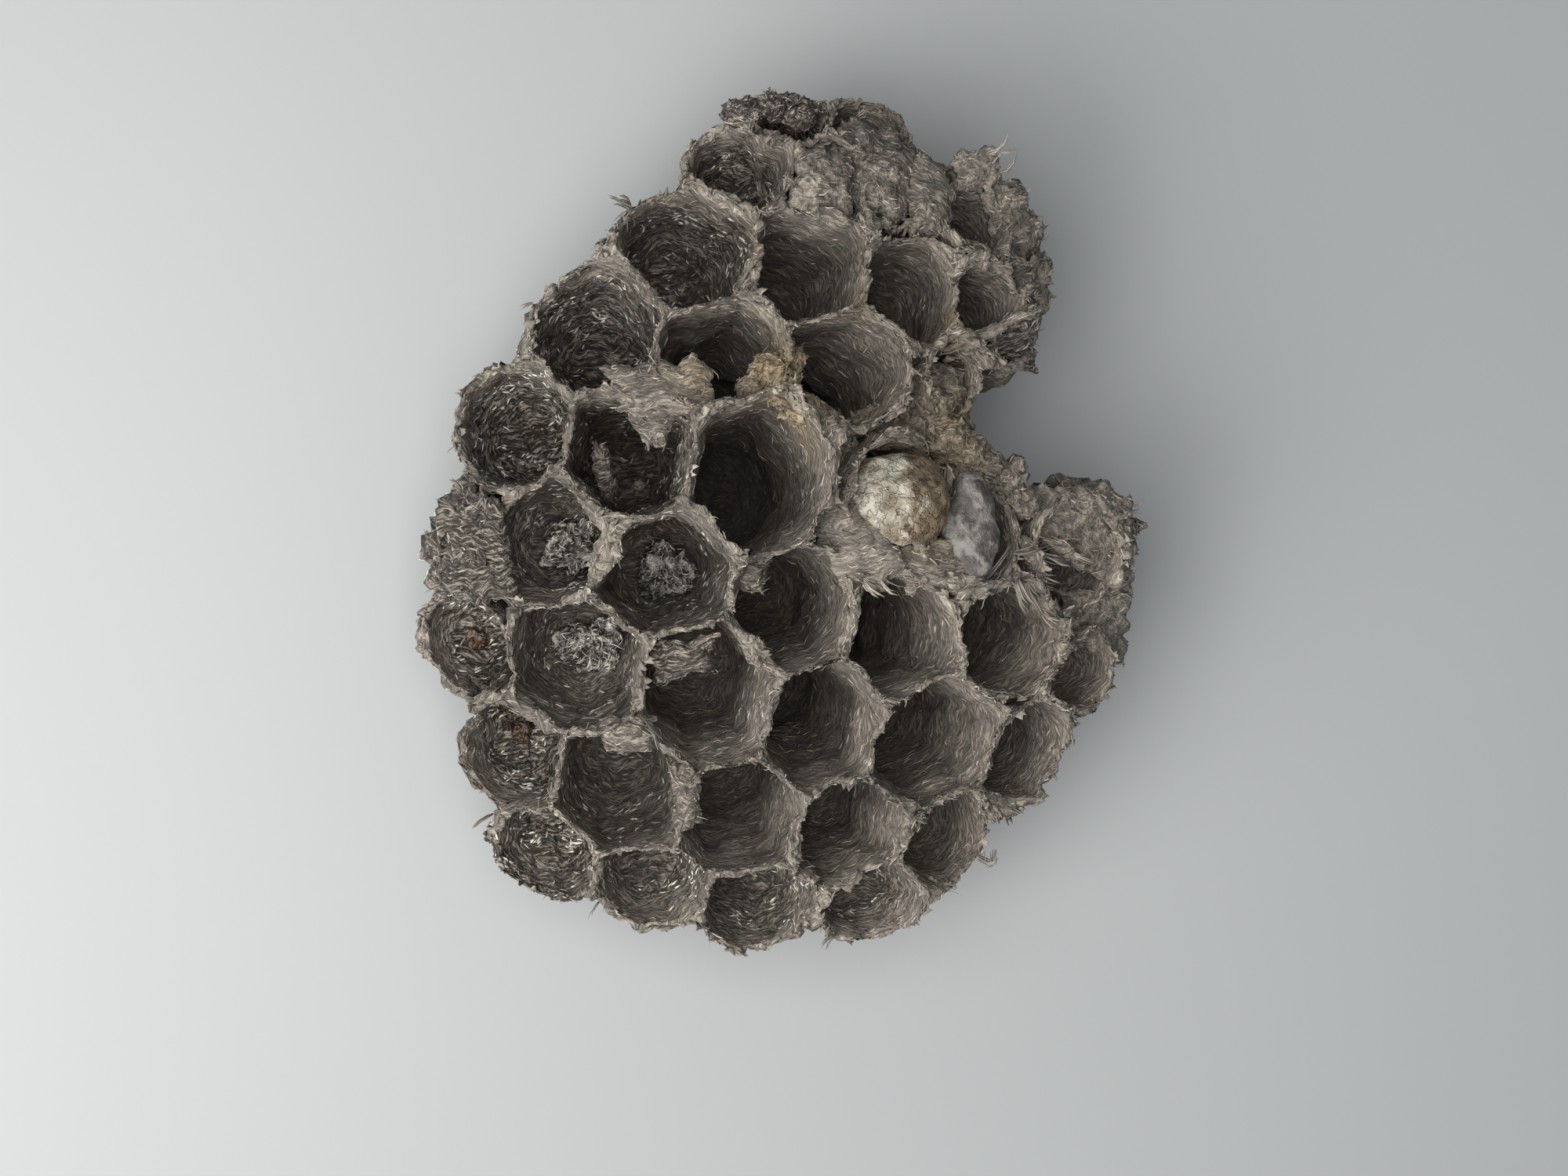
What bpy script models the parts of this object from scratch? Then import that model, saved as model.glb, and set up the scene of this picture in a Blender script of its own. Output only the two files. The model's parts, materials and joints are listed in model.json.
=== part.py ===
"""Nest of a paper wasp: one open comb of paper cells, lying on its back with the cell mouths up.

The comb is a low umbrella. Its cells fan out from a point far below its back, so that each one is narrow at its
floor and wide at its mouth, and the outer ones lean outwards. Neighbours share a wall, which makes them six-sided,
and a free side stays round. The origin is on the cut face of the short stalk that carried the nest. The floors of
the cells around the stalk reach down to the same plane, on which the nest rests. X runs to the right, Y away from
the near edge, and Z up, out of the mouths.
"""
import math

import bmesh
import bpy
from mathutils import Euler, Matrix, Vector
from mathutils.geometry import convex_hull_2d

MM = 0.001

# ---- Driving dimensions, in millimetres ----
WALL = 0.45            # paper between two cells
FLOOR = 0.6            # paper under a cell
FAN_DEPTH = 45.0       # the axes of the cells meet this far below the resting plane
MOUTH_LEVEL = 15.0     # level at which neighbours divide the space between them
RIM_FALL = 0.031       # slope of a mouth for each millimetre that it lies off the middle
CLEARANCE = 0.3        # gap between the comb and a separate piece
ABOVE_RIMS = 5.0       # how far a hollow's cutter runs on above its rim

SIDES = 10             # corners of a free-standing cell
CORNER = 1.3           # reach of a cell between two neighbours, as a share of its half width
BETWEEN = math.radians(100)      # neighbours closer together than this leave no free side between them
MEETING = 1.12         # cells meet up to this share of their half widths' sum apart, where their corners touch
SHORTEST_SIDE = 0.3    # corners closer together than this are one
OVERLAP = 0.12         # how far a cell's blank reaches into its neighbours before they are hollowed
FLAT_WITHIN = math.radians(3)  # faces that turn by less than this count as one

# Section of a cell's rounded floor: height above the floor as a share of the bowl's height, share of the full width.
BOWL = ((0.0, 0.5), (0.27, 0.8), (1.0, 1.0))
BOWL_HEIGHT = 1.7      # in a deep cell
BOWL_SHARE = 0.45      # most of a shallow cell's depth that its bowl takes

# The cells, in rows from the far edge to the near edge: x, y, half width, level of the rim, level of the floor.
CELLS = {
    "a1": (0.7, 23.0, 2.0, 10.5, 7.5),
    "a2": (-1.8, 20.9, 2.45, 11.5, 7.0),
    "a3": (2.5, 19.8, 2.1, 13.0, 10.5),
    "a4": (5.3, 19.4, 1.95, 12.5, 7.0),
    "a5": (5.0, 22.8, 2.1, 11.0, 7.5),
    "a6": (7.9, 19.8, 1.55, 12.0, 7.5),
    "a7": (9.8, 18.2, 2.05, 12.5, 7.0),
    "a8": (12.1, 17.4, 1.6, 11.5, 7.5),
    "b1": (-4.7, 16.5, 3.5, 13.0, 5.0),
    "b2": (1.1, 15.6, 3.05, 15.0, 3.0),
    "b3": (6.2, 14.5, 3.0, 14.5, 4.0),
    "b4": (10.0, 13.7, 2.35, 13.5, 5.0),
    "b5": (11.5, 12.1, 1.6, 11.5, 7.0),
    "c1": (-9.0, 12.7, 3.4, 13.0, 5.0),
    "c2": (-3.4, 11.6, 2.9, 16.0, 0.6),
    "c3": (2.8, 10.6, 3.0, 16.5, 0.6),
    "c4": (8.0, 9.6, 1.65, 11.5, 5.0),
    "d1": (-12.9, 7.9, 3.05, 11.5, 6.0),
    "d2": (-7.8, 6.7, 3.3, 15.5, 3.0),
    "d3": (-2.0, 5.7, 3.65, 18.5, 0.6),
    "d4": (5.1, 4.5, 2.7, 15.5, 0.6),
    "d5": (9.3, 2.7, 2.5, 14.5, 3.0),
    "d6": (15.0, 1.6, 2.85, 13.0, 8.5),
    "e1": (-11.1, 2.3, 3.1, 13.0, 6.5),
    "e2": (-6.1, 1.0, 3.1, 16.0, 5.5),
    "e3": (0.0, -0.7, 3.05, 16.5, 3.0),
    "e4": (5.5, -2.4, 3.0, 16.0, 0.6),
    "e5": (11.0, -2.6, 3.05, 15.0, 3.5),
    "e6": (15.6, -4.6, 2.3, 12.5, 7.5),
    "f1": (-15.1, -3.0, 2.7, 10.0, 6.5),
    "f2": (-10.0, -3.7, 3.2, 13.5, 6.5),
    "f3": (-4.0, -5.1, 3.5, 15.5, 4.0),
    "f4": (1.5, -6.7, 3.05, 15.5, 0.6),
    "f5": (7.3, -7.7, 3.1, 14.5, 2.5),
    "f6": (12.9, -8.7, 2.7, 12.5, 5.0),
    "g1": (-12.9, -8.2, 2.8, 10.5, 6.5),
    "g2": (-7.6, -9.9, 3.4, 13.0, 4.0),
    "g3": (-1.9, -11.0, 3.1, 14.0, 3.0),
    "g4": (3.3, -11.9, 2.95, 13.5, 3.5),
    "g5": (8.7, -12.9, 2.7, 12.0, 5.5),
    "h1": (-11.1, -13.2, 2.6, 9.5, 6.5),
    "h2": (-6.1, -14.5, 2.8, 11.0, 7.0),
    "h3": (-0.7, -16.1, 2.9, 11.5, 6.0),
    "h4": (5.1, -16.3, 2.6, 11.0, 6.5),
}

# Ledges and lumps of pulp that the wasps left on the walls, and crushed walls: middle, half sizes, turn about X, Y, Z.
PULP = {
    "shoulder of the tall cell": ((4.6, 1.6, 13.9), (2.5, 1.2, 1.2), (0, 14, -42)),
    "yellow crest": ((0.6, 9.2, 15.6), (2.3, 0.9, 1.1), (0, 0, -57)),
    "brown bank in the notch": ((8.2, 7.0, 10.4), (1.9, 1.4, 2.6), (0, 12, -30)),
    "ridge beside the grey cap": ((12.0, 3.9, 12.4), (0.9, 2.6, 1.5), (0, 10, 20)),
    "crushed wall at the left": ((-14.4, 2.1, 9.7), (1.7, 2.2, 1.6), (0, -15, 6)),
    "torn wedge in the notch": ((11.0, 11.2, 10.2), (2.6, 0.7, 1.8), (0, 0, 26)),
}

# Where the broken cell at the right is squashed, its outer side is swollen out to this form, which is then hollowed.
SQUASHED_SIDE = ((15.8, 2.2, 9.3), (3.1, 3.0, 3.6), (0, 17, 0))

# The stalk: height above its cut face, radius.
STALK = ((0.0, 0.95), (0.9, 0.85), (1.7, 1.15), (2.1, 1.3))
STALK_SIDES = 12

# The spun lids: the cell that each one closes, its shift from the cell's axis, half sizes, height of its rim.
LIDS = {
    "cocoon_cap_white": ("d4", (0.1, -0.15), (2.05, 2.1, 1.7), 14.9),
    "cocoon_cap_grey": ("d5", (-0.35, 0.0), (1.45, 1.85, 1.1), 14.0),
}
LID_THICKNESS = 0.4
LID_SIDES = 14
LID_STEPS = 3

# What is left loose in opened cells: the cell, shift from its axis, half sizes, turn about Z.
SILK = {
    "cocoon_remains_1": ("e2", (0.35, -0.1), (1.35, 1.5, 0.9), 20),
    "cocoon_remains_2": ("f2", (0.25, 0.2), (1.5, 1.35, 0.8), -15),
    "cocoon_remains_3": ("e1", (0.3, -0.1), (1.35, 1.3, 0.8), 40),
}
WASTE = {
    "waste_pellet_1": ("f1", (-0.1, 0.1), (0.6, 0.5, 0.3), 30),
    "waste_pellet_2": ("g1", (-0.1, 0.3), (0.6, 0.45, 0.3), 110),
}


def new_collection(name):
    """Return a new collection in the scene."""
    collection = bpy.data.collections.new(name)
    bpy.context.scene.collection.children.link(collection)
    return collection


def material(name, colour, roughness):
    """Return a Principled material."""
    finish = bpy.data.materials.new(name)
    finish.use_nodes = True
    shader = finish.node_tree.nodes["Principled BSDF"]
    shader.inputs["Base Color"].default_value = (*colour, 1.0)
    shader.inputs["Roughness"].default_value = roughness
    shader.inputs["Metallic"].default_value = 0.0
    return finish


def object_of(name, mesh, collection):
    """Turn a bmesh into an object in a collection."""
    data = bpy.data.meshes.new(name)
    mesh.to_mesh(data)
    mesh.free()
    item = bpy.data.objects.new(name, data)
    collection.objects.link(item)
    return item


def finish_round(item, finish):
    """Give a rounded object its material, and shade it smooth."""
    item.data.materials.append(finish)
    item.data.shade_smooth()
    item.data.set_sharp_from_angle(angle=math.radians(50))
    return item


def hide(collection):
    """Show a collection's objects as wires only, and leave them out of renders."""
    for item in collection.objects:
        item.hide_render = True
        item.display_type = "WIRE"


def boolean(item, operation, collection, solver="EXACT"):
    """Give an object a Boolean modifier with a collection of solids."""
    modifier = item.modifiers.new(operation.lower(), "BOOLEAN")
    modifier.operation = operation
    modifier.solver = solver
    modifier.operand_type = "COLLECTION"
    modifier.collection = collection


# ---- The comb ----

def fan(u, v, z):
    """Return the place in metres of the layout point (u, v) at level z, on its ray from the fan's point."""
    spread = (FAN_DEPTH + z) / (FAN_DEPTH + MOUTH_LEVEL)
    return Vector((u * spread, v * spread, z)) * MM


def layout(cell):
    """Return a cell's middle and half width as they are at the layout's level."""
    x, y, girth, rim, _ = CELLS[cell]
    spread = (FAN_DEPTH + MOUTH_LEVEL) / (FAN_DEPTH + rim)
    return Vector((x, y)) * spread, girth * spread


def neighbours(cell):
    """Return the direction, distance and half width of each cell that meets this one."""
    middle, girth = layout(cell)
    found = []
    for other in CELLS:
        other_middle, other_girth = layout(other)
        gap = other_middle - middle
        if other != cell and gap.length < MEETING * (girth + other_girth):
            found.append((gap.normalized(), gap.length, other_girth))
    return found


def is_between(direction, others):
    """Tell whether a direction points between two neighbours that stand close together."""
    turns = sorted(direction.angle_signed(other[0]) for other in others)
    after = [turn for turn in turns if turn > 0] or [turns[0] + 2 * math.pi] if turns else [math.pi]
    before = [turn for turn in turns if turn <= 0] or [turns[-1] - 2 * math.pi] if turns else [-math.pi]
    return min(after) - max(before) < BETWEEN


def clip(outline, middle, direction, distance):
    """Cut an outline off beyond the line that lies at a distance from the middle, in a direction."""
    kept = []
    for start, end in zip(outline, outline[1:] + outline[:1]):
        start_over = (start - middle).dot(direction) - distance
        end_over = (end - middle).dot(direction) - distance
        if start_over <= 0:
            kept.append(start)
        if start_over * end_over < 0:
            kept.append(start.lerp(end, start_over / (start_over - end_over)))
    return kept


def without_short_sides(outline):
    """Return the outline without corners that lie too close together."""
    kept = [outline[0]]
    for corner in outline[1:]:
        if (corner - kept[-1]).length > SHORTEST_SIDE:
            kept.append(corner)
    if (kept[0] - kept[-1]).length < SHORTEST_SIDE:
        kept.pop()
    return kept


def outline_of(cell, offset):
    """Return a cell's outline, moved outwards by an offset: round, and straight where a neighbour stands."""
    middle, girth = layout(cell)
    others = neighbours(cell)
    outline = []
    for side in range(SIDES):
        turn = 2 * math.pi * (side + 0.5) / SIDES
        direction = Vector((math.cos(turn), math.sin(turn)))
        reach = girth * (CORNER if is_between(direction, others) else 1.0)
        outline.append(middle + direction * (reach + offset))
    outline = [outline[index] for index in convex_hull_2d(outline)]
    for direction, distance, other_girth in others:
        shared_wall = (distance ** 2 + girth ** 2 - other_girth ** 2) / (2 * distance)
        outline = clip(outline, middle, direction, shared_wall + offset)
    return without_short_sides(outline)


def loft(name, rings, collection):
    """Return a closed solid through rings that all have the same number of points, lowest ring first."""
    mesh = bmesh.new()
    levels = [[mesh.verts.new(point) for point in ring] for ring in rings]
    for lower, upper in zip(levels, levels[1:]):
        for side in range(len(lower)):
            after = (side + 1) % len(lower)
            mesh.faces.new((lower[side], lower[after], upper[after], upper[side]))
    mesh.faces.new(reversed(levels[0]))
    mesh.faces.new(levels[-1])
    bmesh.ops.triangulate(mesh, faces=mesh.faces)
    bmesh.ops.recalc_face_normals(mesh, faces=mesh.faces)
    return object_of(name, mesh, collection)


def cell_solid(cell, offset, below, above, collection):
    """Make one cell as a solid: its blank where the offset is outwards, or its hollow where it is inwards."""
    rim, floor = CELLS[cell][3:5]
    middle, _ = layout(cell)
    outline = outline_of(cell, offset)
    outwards = middle.normalized()
    slope = RIM_FALL * middle.length
    bowl_height = min(BOWL_HEIGHT, BOWL_SHARE * (rim - floor))
    rings = []
    for rise, width in BOWL:
        level = floor - below + rise * bowl_height
        rings.append([fan(*middle.lerp(corner, width), level) for corner in outline])
    rings.append([fan(*corner, rim + above - slope * (corner - middle).dot(outwards)) for corner in outline])
    loft("cell " + cell, rings, collection)


def lump(name, place, half_sizes, turns, subdivisions, collection):
    """Make a rounded lump at a place in metres, with half sizes in millimetres and turns in degrees."""
    mesh = bmesh.new()
    turned = Euler([math.radians(turn) for turn in turns]).to_matrix().to_4x4()
    shape = Matrix.Translation(place) @ turned @ Matrix.Diagonal((*(Vector(half_sizes) * MM), 1.0))
    bmesh.ops.create_icosphere(mesh, subdivisions=subdivisions, radius=1.0, matrix=shape)
    return object_of(name, mesh, collection)


def make_comb(nest):
    """Make the comb: the blanks of all cells in one, less the cells' hollows, with the pulp on it."""
    blanks = new_collection("comb blanks")
    hollows = new_collection("comb hollows")
    pulp = new_collection("comb pulp")
    for cell in CELLS:
        cell_solid(cell, WALL / 2 + OVERLAP, FLOOR, 0.0, blanks)
        cell_solid(cell, -WALL / 2, 0.0, ABOVE_RIMS, hollows)
    place, half_sizes, turns = SQUASHED_SIDE
    lump("squashed side", Vector(place) * MM, half_sizes, turns, 2, blanks)
    for name, (place, half_sizes, turns) in PULP.items():
        lump(name, Vector(place) * MM, half_sizes, turns, 2, pulp)
    first = blanks.objects[0]
    comb = bpy.data.objects.new("comb", first.data)
    nest.objects.link(comb)
    bpy.data.objects.remove(first)
    boolean(comb, "UNION", blanks)
    boolean(comb, "DIFFERENCE", hollows)
    boolean(comb, "UNION", pulp, "MANIFOLD")
    flat = comb.modifiers.new("flat faces", "DECIMATE")
    flat.decimate_type = "DISSOLVE"
    flat.angle_limit = FLAT_WITHIN
    for collection in (blanks, hollows, pulp):
        hide(collection)
    comb.data.materials.append(material("comb paper", (0.13, 0.115, 0.1), 0.9))


# ---- The stalk ----

def turned(name, profile, sides, collection):
    """Make a solid of revolution from a profile of (radius, height) points in millimetres."""
    mesh = bmesh.new()
    points = [mesh.verts.new((radius * MM, 0.0, height * MM)) for radius, height in profile]
    for start, end in zip(points, points[1:]):
        mesh.edges.new((start, end))
    item = object_of(name, mesh, collection)
    screw = item.modifiers.new("turn", "SCREW")
    screw.steps = sides
    screw.render_steps = sides
    screw.use_merge_vertices = True
    screw.merge_threshold = 0.00001
    return item


def make_stalk(nest):
    """Make the stalk's stub, from its cut face up to just under the comb."""
    sides = [(radius, height) for height, radius in reversed(STALK)]
    top = STALK[-1][0]
    stalk = turned("petiole", [(0.0, top), *sides, (0.0, 0.0)], STALK_SIDES, nest)
    finish_round(stalk, material("petiole varnish", (0.03, 0.022, 0.017), 0.35))


# ---- The spun lids ----

def make_lid(name, finish, nest):
    """Make one domed lid, thin and open below, inside the mouth of its cell."""
    cell, shift, (half_x, half_y, height), rim = LIDS[name]
    inner_share = 1.0 - LID_THICKNESS / half_x
    inner_height = height - LID_THICKNESS
    steps = [math.pi / 2 * step / LID_STEPS for step in range(LID_STEPS + 1)]
    outer = [(math.sin(turn), height * math.cos(turn)) for turn in steps]
    inner = [(inner_share * math.sin(turn), inner_height * math.cos(turn)) for turn in reversed(steps)]
    lid = turned(name, [*outer, *inner], LID_SIDES, nest)
    middle, _ = layout(cell)
    foot = fan(*middle, rim) + Vector((*shift, 0.0)) * MM
    lean = Vector((0, 0, 1)).rotation_difference(Vector((*middle, FAN_DEPTH + MOUTH_LEVEL)))
    for vertex in lid.data.vertices:
        vertex.co.x *= half_x
    lid.location = foot
    lid.rotation_mode = "QUATERNION"
    lid.rotation_quaternion = lean
    lid.scale = (1.0, half_y / half_x, 1.0)
    finish_round(lid, finish)


# ---- What is left in the cells ----

def make_crumb(name, kind, finish, nest):
    """Make one loose lump on the floor of its cell, clear of the walls."""
    cell, shift, half_sizes, turn = kind[name]
    floor = CELLS[cell][4]
    middle, _ = layout(cell)
    place = fan(*middle, floor) + Vector((*shift, CLEARANCE + half_sizes[2])) * MM
    finish_round(lump(name, place, half_sizes, (0, 0, turn), 2, nest), finish)


for item in list(bpy.data.objects):
    bpy.data.objects.remove(item)
nest = new_collection("paper wasp nest")
make_comb(nest)
make_stalk(nest)
make_lid("cocoon_cap_white", material("white silk", (0.45, 0.42, 0.35), 0.7), nest)
make_lid("cocoon_cap_grey", material("grey silk", (0.24, 0.23, 0.21), 0.5), nest)
old_silk = material("old silk", (0.3, 0.29, 0.26), 0.5)
for scrap in SILK:
    make_crumb(scrap, SILK, old_silk, nest)
waste = material("dried waste", (0.06, 0.03, 0.015), 0.4)
for pellet in WASTE:
    make_crumb(pellet, WASTE, waste, nest)
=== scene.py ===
"""A paper wasp's nest, lying on its back: the looks of its comb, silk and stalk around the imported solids."""
import json
import math
from types import SimpleNamespace

import bmesh
import bpy
import numpy as np
from mathutils import Matrix, Vector, noise
from mathutils.bvhtree import BVHTree

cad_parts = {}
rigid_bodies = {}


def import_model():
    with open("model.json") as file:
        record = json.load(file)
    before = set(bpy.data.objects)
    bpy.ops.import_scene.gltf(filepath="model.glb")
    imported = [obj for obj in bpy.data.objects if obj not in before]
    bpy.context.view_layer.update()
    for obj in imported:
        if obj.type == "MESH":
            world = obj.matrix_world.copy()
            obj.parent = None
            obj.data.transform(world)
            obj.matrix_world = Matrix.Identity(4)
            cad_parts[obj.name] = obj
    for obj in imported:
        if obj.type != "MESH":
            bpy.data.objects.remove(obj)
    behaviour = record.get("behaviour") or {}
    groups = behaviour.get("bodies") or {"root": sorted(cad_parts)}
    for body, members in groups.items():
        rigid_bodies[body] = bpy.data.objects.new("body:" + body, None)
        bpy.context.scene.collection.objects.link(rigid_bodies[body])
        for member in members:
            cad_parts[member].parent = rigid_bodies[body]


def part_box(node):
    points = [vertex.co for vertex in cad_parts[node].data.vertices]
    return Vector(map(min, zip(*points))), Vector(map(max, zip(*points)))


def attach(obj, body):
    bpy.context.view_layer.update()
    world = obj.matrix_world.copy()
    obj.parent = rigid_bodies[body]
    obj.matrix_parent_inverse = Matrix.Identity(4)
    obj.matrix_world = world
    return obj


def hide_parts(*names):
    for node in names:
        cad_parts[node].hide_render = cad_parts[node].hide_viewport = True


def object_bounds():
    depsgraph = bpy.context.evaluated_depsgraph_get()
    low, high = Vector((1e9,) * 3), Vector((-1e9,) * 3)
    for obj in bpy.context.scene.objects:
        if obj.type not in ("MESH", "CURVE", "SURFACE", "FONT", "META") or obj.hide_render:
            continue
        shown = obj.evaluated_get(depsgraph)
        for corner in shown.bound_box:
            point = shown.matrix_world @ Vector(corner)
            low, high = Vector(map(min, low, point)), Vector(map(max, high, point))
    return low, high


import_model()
cad_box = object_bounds()
for item in bpy.context.selected_objects:
    item.select_set(False)


# ---------------------------------------------------------------------------------------------------------
# The table, the light and the view.
# The nest lies on a pale, smooth table. A window lights it softly from the near left, and a pale ceiling from
# above, so the table darkens to the far right.
# ---------------------------------------------------------------------------------------------------------
TABLE_SIZE = 0.9
TABLE_COLOUR = (0.352, 0.363, 0.367, 1.0)
TABLE_ROUGHNESS = 0.42
SKY_COLOUR = (0.86, 0.93, 1.0, 1.0)
SKY_STRENGTH = 0.26
LAMP_COLOUR = (1.0, 0.985, 0.96)


def new_finish(name):
    """Start a material, and return it, its node tree and its shader's sockets."""
    finish = bpy.data.materials.new(name)
    finish.use_nodes = True
    return finish, finish.node_tree, finish.node_tree.nodes["Principled BSDF"].inputs


bpy.ops.mesh.primitive_plane_add(size=TABLE_SIZE, location=(0, 0, 0))
table = bpy.context.object
table.name = "table"
table_finish, table_tree, table_shader = new_finish("pale table")
table_shader["Base Color"].default_value = TABLE_COLOUR
table_shader["Roughness"].default_value = TABLE_ROUGHNESS
table.data.materials.append(table_finish)
table.select_set(False)

world = bpy.data.worlds.new("studio")
world.use_nodes = True
world.node_tree.nodes["Background"].inputs["Color"].default_value = SKY_COLOUR
world.node_tree.nodes["Background"].inputs["Strength"].default_value = SKY_STRENGTH
bpy.context.scene.world = world
bpy.context.scene.view_settings.view_transform = "Standard"


def placed(name, data, collection=None):
    """Make an object of data, in a collection or in the scene's own."""
    item = bpy.data.objects.new(name, data)
    home = bpy.context.scene.collection if collection is None else collection
    home.objects.link(item)
    return item


def soft_light(name, place, size, power):
    """Add a square soft light that shines at the nest."""
    lamp = bpy.data.lights.new(name, "AREA")
    lamp.size = size
    lamp.energy = power
    lamp.color = LAMP_COLOUR
    light = placed(name, lamp)
    light.location = place
    light.rotation_euler = (Vector((0, 0, 0.01)) - Vector(place)).to_track_quat("-Z", "Y").to_euler()


soft_light("window", place=(-0.140, -0.095, 0.130), size=0.16, power=0.50)
soft_light("ceiling", place=(-0.065, 0.000, 0.190), size=0.15, power=0.36)

MM = 0.001
MM_PER_PIXEL = 0.038          # at the aim point, in the photo's 2000 by 1500 pixels
VIEW_DISTANCE = 0.150
AIM = Vector((0, 0, 0.014))
TOWARDS_CAMERA = Vector((-0.19, 0.04, 1.0)).normalized()
SENSOR = 36.0
PHOTO_WIDTH = 2000
camera_data = bpy.data.cameras.new("camera")
camera_data.sensor_width = SENSOR
camera_data.lens = SENSOR * VIEW_DISTANCE / (MM_PER_PIXEL * MM * PHOTO_WIDTH)
camera_data.clip_start = 0.01
camera = placed("camera", camera_data)
camera_right = Vector((0, 1, 0)).cross(TOWARDS_CAMERA).normalized()
camera_up = TOWARDS_CAMERA.cross(camera_right)
camera.matrix_world = Matrix.Translation(AIM + TOWARDS_CAMERA * VIEW_DISTANCE) @ Matrix(
    (camera_right, camera_up, TOWARDS_CAMERA)).transposed().to_4x4()
bpy.context.scene.camera = camera


# ---------------------------------------------------------------------------------------------------------
# The comb.
# The wasps scraped weathered wood, chewed it to pulp and laid it in short strips round each cell's mouth, so
# the paper is a felt of wavy fibres that run round the cells. All cells are one piece, and neighbours share
# a wall.
# ---------------------------------------------------------------------------------------------------------
FAN_DEPTH = 45.0              # all sizes of the comb are in millimetres
MOUTH_LEVEL = 15.0
RIM_FALL = 0.031              # how much a cell's rim falls outwards, for each millimetre off the middle
CORNER = 1.3                  # how much further a cell reaches in a corner between two neighbours
BETWEEN = math.radians(100)   # neighbours nearer in heading than this have such a corner between them
MEETING = 1.12                # cells nearer than this, in their half widths, share a wall
BOWL_HEIGHT = 1.7
BOWL_SHARE = 0.45             # the bowl's most share of its cell's depth
FLOOR = 0.6                   # the floors' thickness

# x, y, half width, level of the rim, level of the floor
CELLS = {
    "a1": (0.7, 23.0, 2.0, 10.5, 7.5),
    "a2": (-1.8, 20.9, 2.45, 11.5, 7.0),
    "a3": (2.5, 19.8, 2.1, 13.0, 10.5),
    "a4": (5.3, 19.4, 1.95, 12.5, 7.0),
    "a5": (5.0, 22.8, 2.1, 11.0, 7.5),
    "a6": (7.9, 19.8, 1.55, 12.0, 7.5),
    "a7": (9.8, 18.2, 2.05, 12.5, 7.0),
    "a8": (12.1, 17.4, 1.6, 11.5, 7.5),
    "b1": (-4.7, 16.5, 3.5, 13.0, 5.0),
    "b2": (1.1, 15.6, 3.05, 15.0, 3.0),
    "b3": (6.2, 14.5, 3.0, 14.5, 4.0),
    "b4": (10.0, 13.7, 2.35, 13.5, 5.0),
    "b5": (11.5, 12.1, 1.6, 11.5, 7.0),
    "c1": (-9.0, 12.7, 3.4, 13.0, 5.0),
    "c2": (-3.4, 11.6, 2.9, 16.0, 0.6),
    "c3": (2.8, 10.6, 3.0, 16.5, 0.6),
    "c4": (8.0, 9.6, 1.65, 11.5, 5.0),
    "d1": (-12.9, 7.9, 3.05, 11.5, 6.0),
    "d2": (-7.8, 6.7, 3.3, 15.5, 3.0),
    "d3": (-2.0, 5.7, 3.65, 18.5, 0.6),
    "d4": (5.1, 4.5, 2.7, 15.5, 0.6),
    "d5": (9.3, 2.7, 2.5, 14.5, 3.0),
    "d6": (15.0, 1.6, 2.85, 13.0, 8.5),
    "e1": (-11.1, 2.3, 3.1, 13.0, 6.5),
    "e2": (-6.1, 1.0, 3.1, 16.0, 5.5),
    "e3": (0.0, -0.7, 3.05, 16.5, 3.0),
    "e4": (5.5, -2.4, 3.0, 16.0, 0.6),
    "e5": (11.0, -2.6, 3.05, 15.0, 3.5),
    "e6": (15.6, -4.6, 2.3, 12.5, 7.5),
    "f1": (-15.1, -3.0, 2.7, 10.0, 6.5),
    "f2": (-10.0, -3.7, 3.2, 13.5, 6.5),
    "f3": (-4.0, -5.1, 3.5, 15.5, 4.0),
    "f4": (1.5, -6.7, 3.05, 15.5, 0.6),
    "f5": (7.3, -7.7, 3.1, 14.5, 2.5),
    "f6": (12.9, -8.7, 2.7, 12.5, 5.0),
    "g1": (-12.9, -8.2, 2.8, 10.5, 6.5),
    "g2": (-7.6, -9.9, 3.4, 13.0, 4.0),
    "g3": (-1.9, -11.0, 3.1, 14.0, 3.0),
    "g4": (3.3, -11.9, 2.95, 13.5, 3.5),
    "g5": (8.7, -12.9, 2.7, 12.0, 5.5),
    "h1": (-11.1, -13.2, 2.6, 9.5, 6.5),
    "h2": (-6.1, -14.5, 2.8, 11.0, 7.0),
    "h3": (-0.7, -16.1, 2.9, 11.5, 6.0),
    "h4": (5.1, -16.3, 2.6, 11.0, 6.5),
}
names = list(CELLS)
table_of_cells = np.array([CELLS[name] for name in names])
rims, floors = table_of_cells[:, 3], table_of_cells[:, 4]
spreads = (FAN_DEPTH + MOUTH_LEVEL) / (FAN_DEPTH + rims)
middles = table_of_cells[:, :2] * spreads[:, None]
girths = table_of_cells[:, 2] * spreads
offs = np.linalg.norm(middles, axis=1)
outwards = middles / offs[:, None]

AROUND = 48                   # points round a cell
CORNER_ROUNDING = 50.0        # larger is sharper
WALL_AT_RIM = 0.15
WALL_BELOW = 0.42
FULL_WALL = 3.0               # how far below the rim the wall has its full thickness
PULPY = 0.75                  # how thick the pulp is built up at the most
PULPY_DEPTH = 1.8
RIM_SOFTNESS = 1.7            # larger takes more of the higher rim where two cells meet
RIM_REACH = 2.6               # larger keeps each cell's rim nearer to its own edge
BOWL_STEPS = (0.004, 0.03, 0.08, 0.15, 0.25, 0.38, 0.55, 0.75, 1.0)


def fan(points, z):
    """Return places in millimetres for layout points at levels z, on their rays from the fan's point."""
    spread = (FAN_DEPTH + z) / (FAN_DEPTH + MOUTH_LEVEL)
    return np.column_stack([points * spread[:, None], z])


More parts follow.
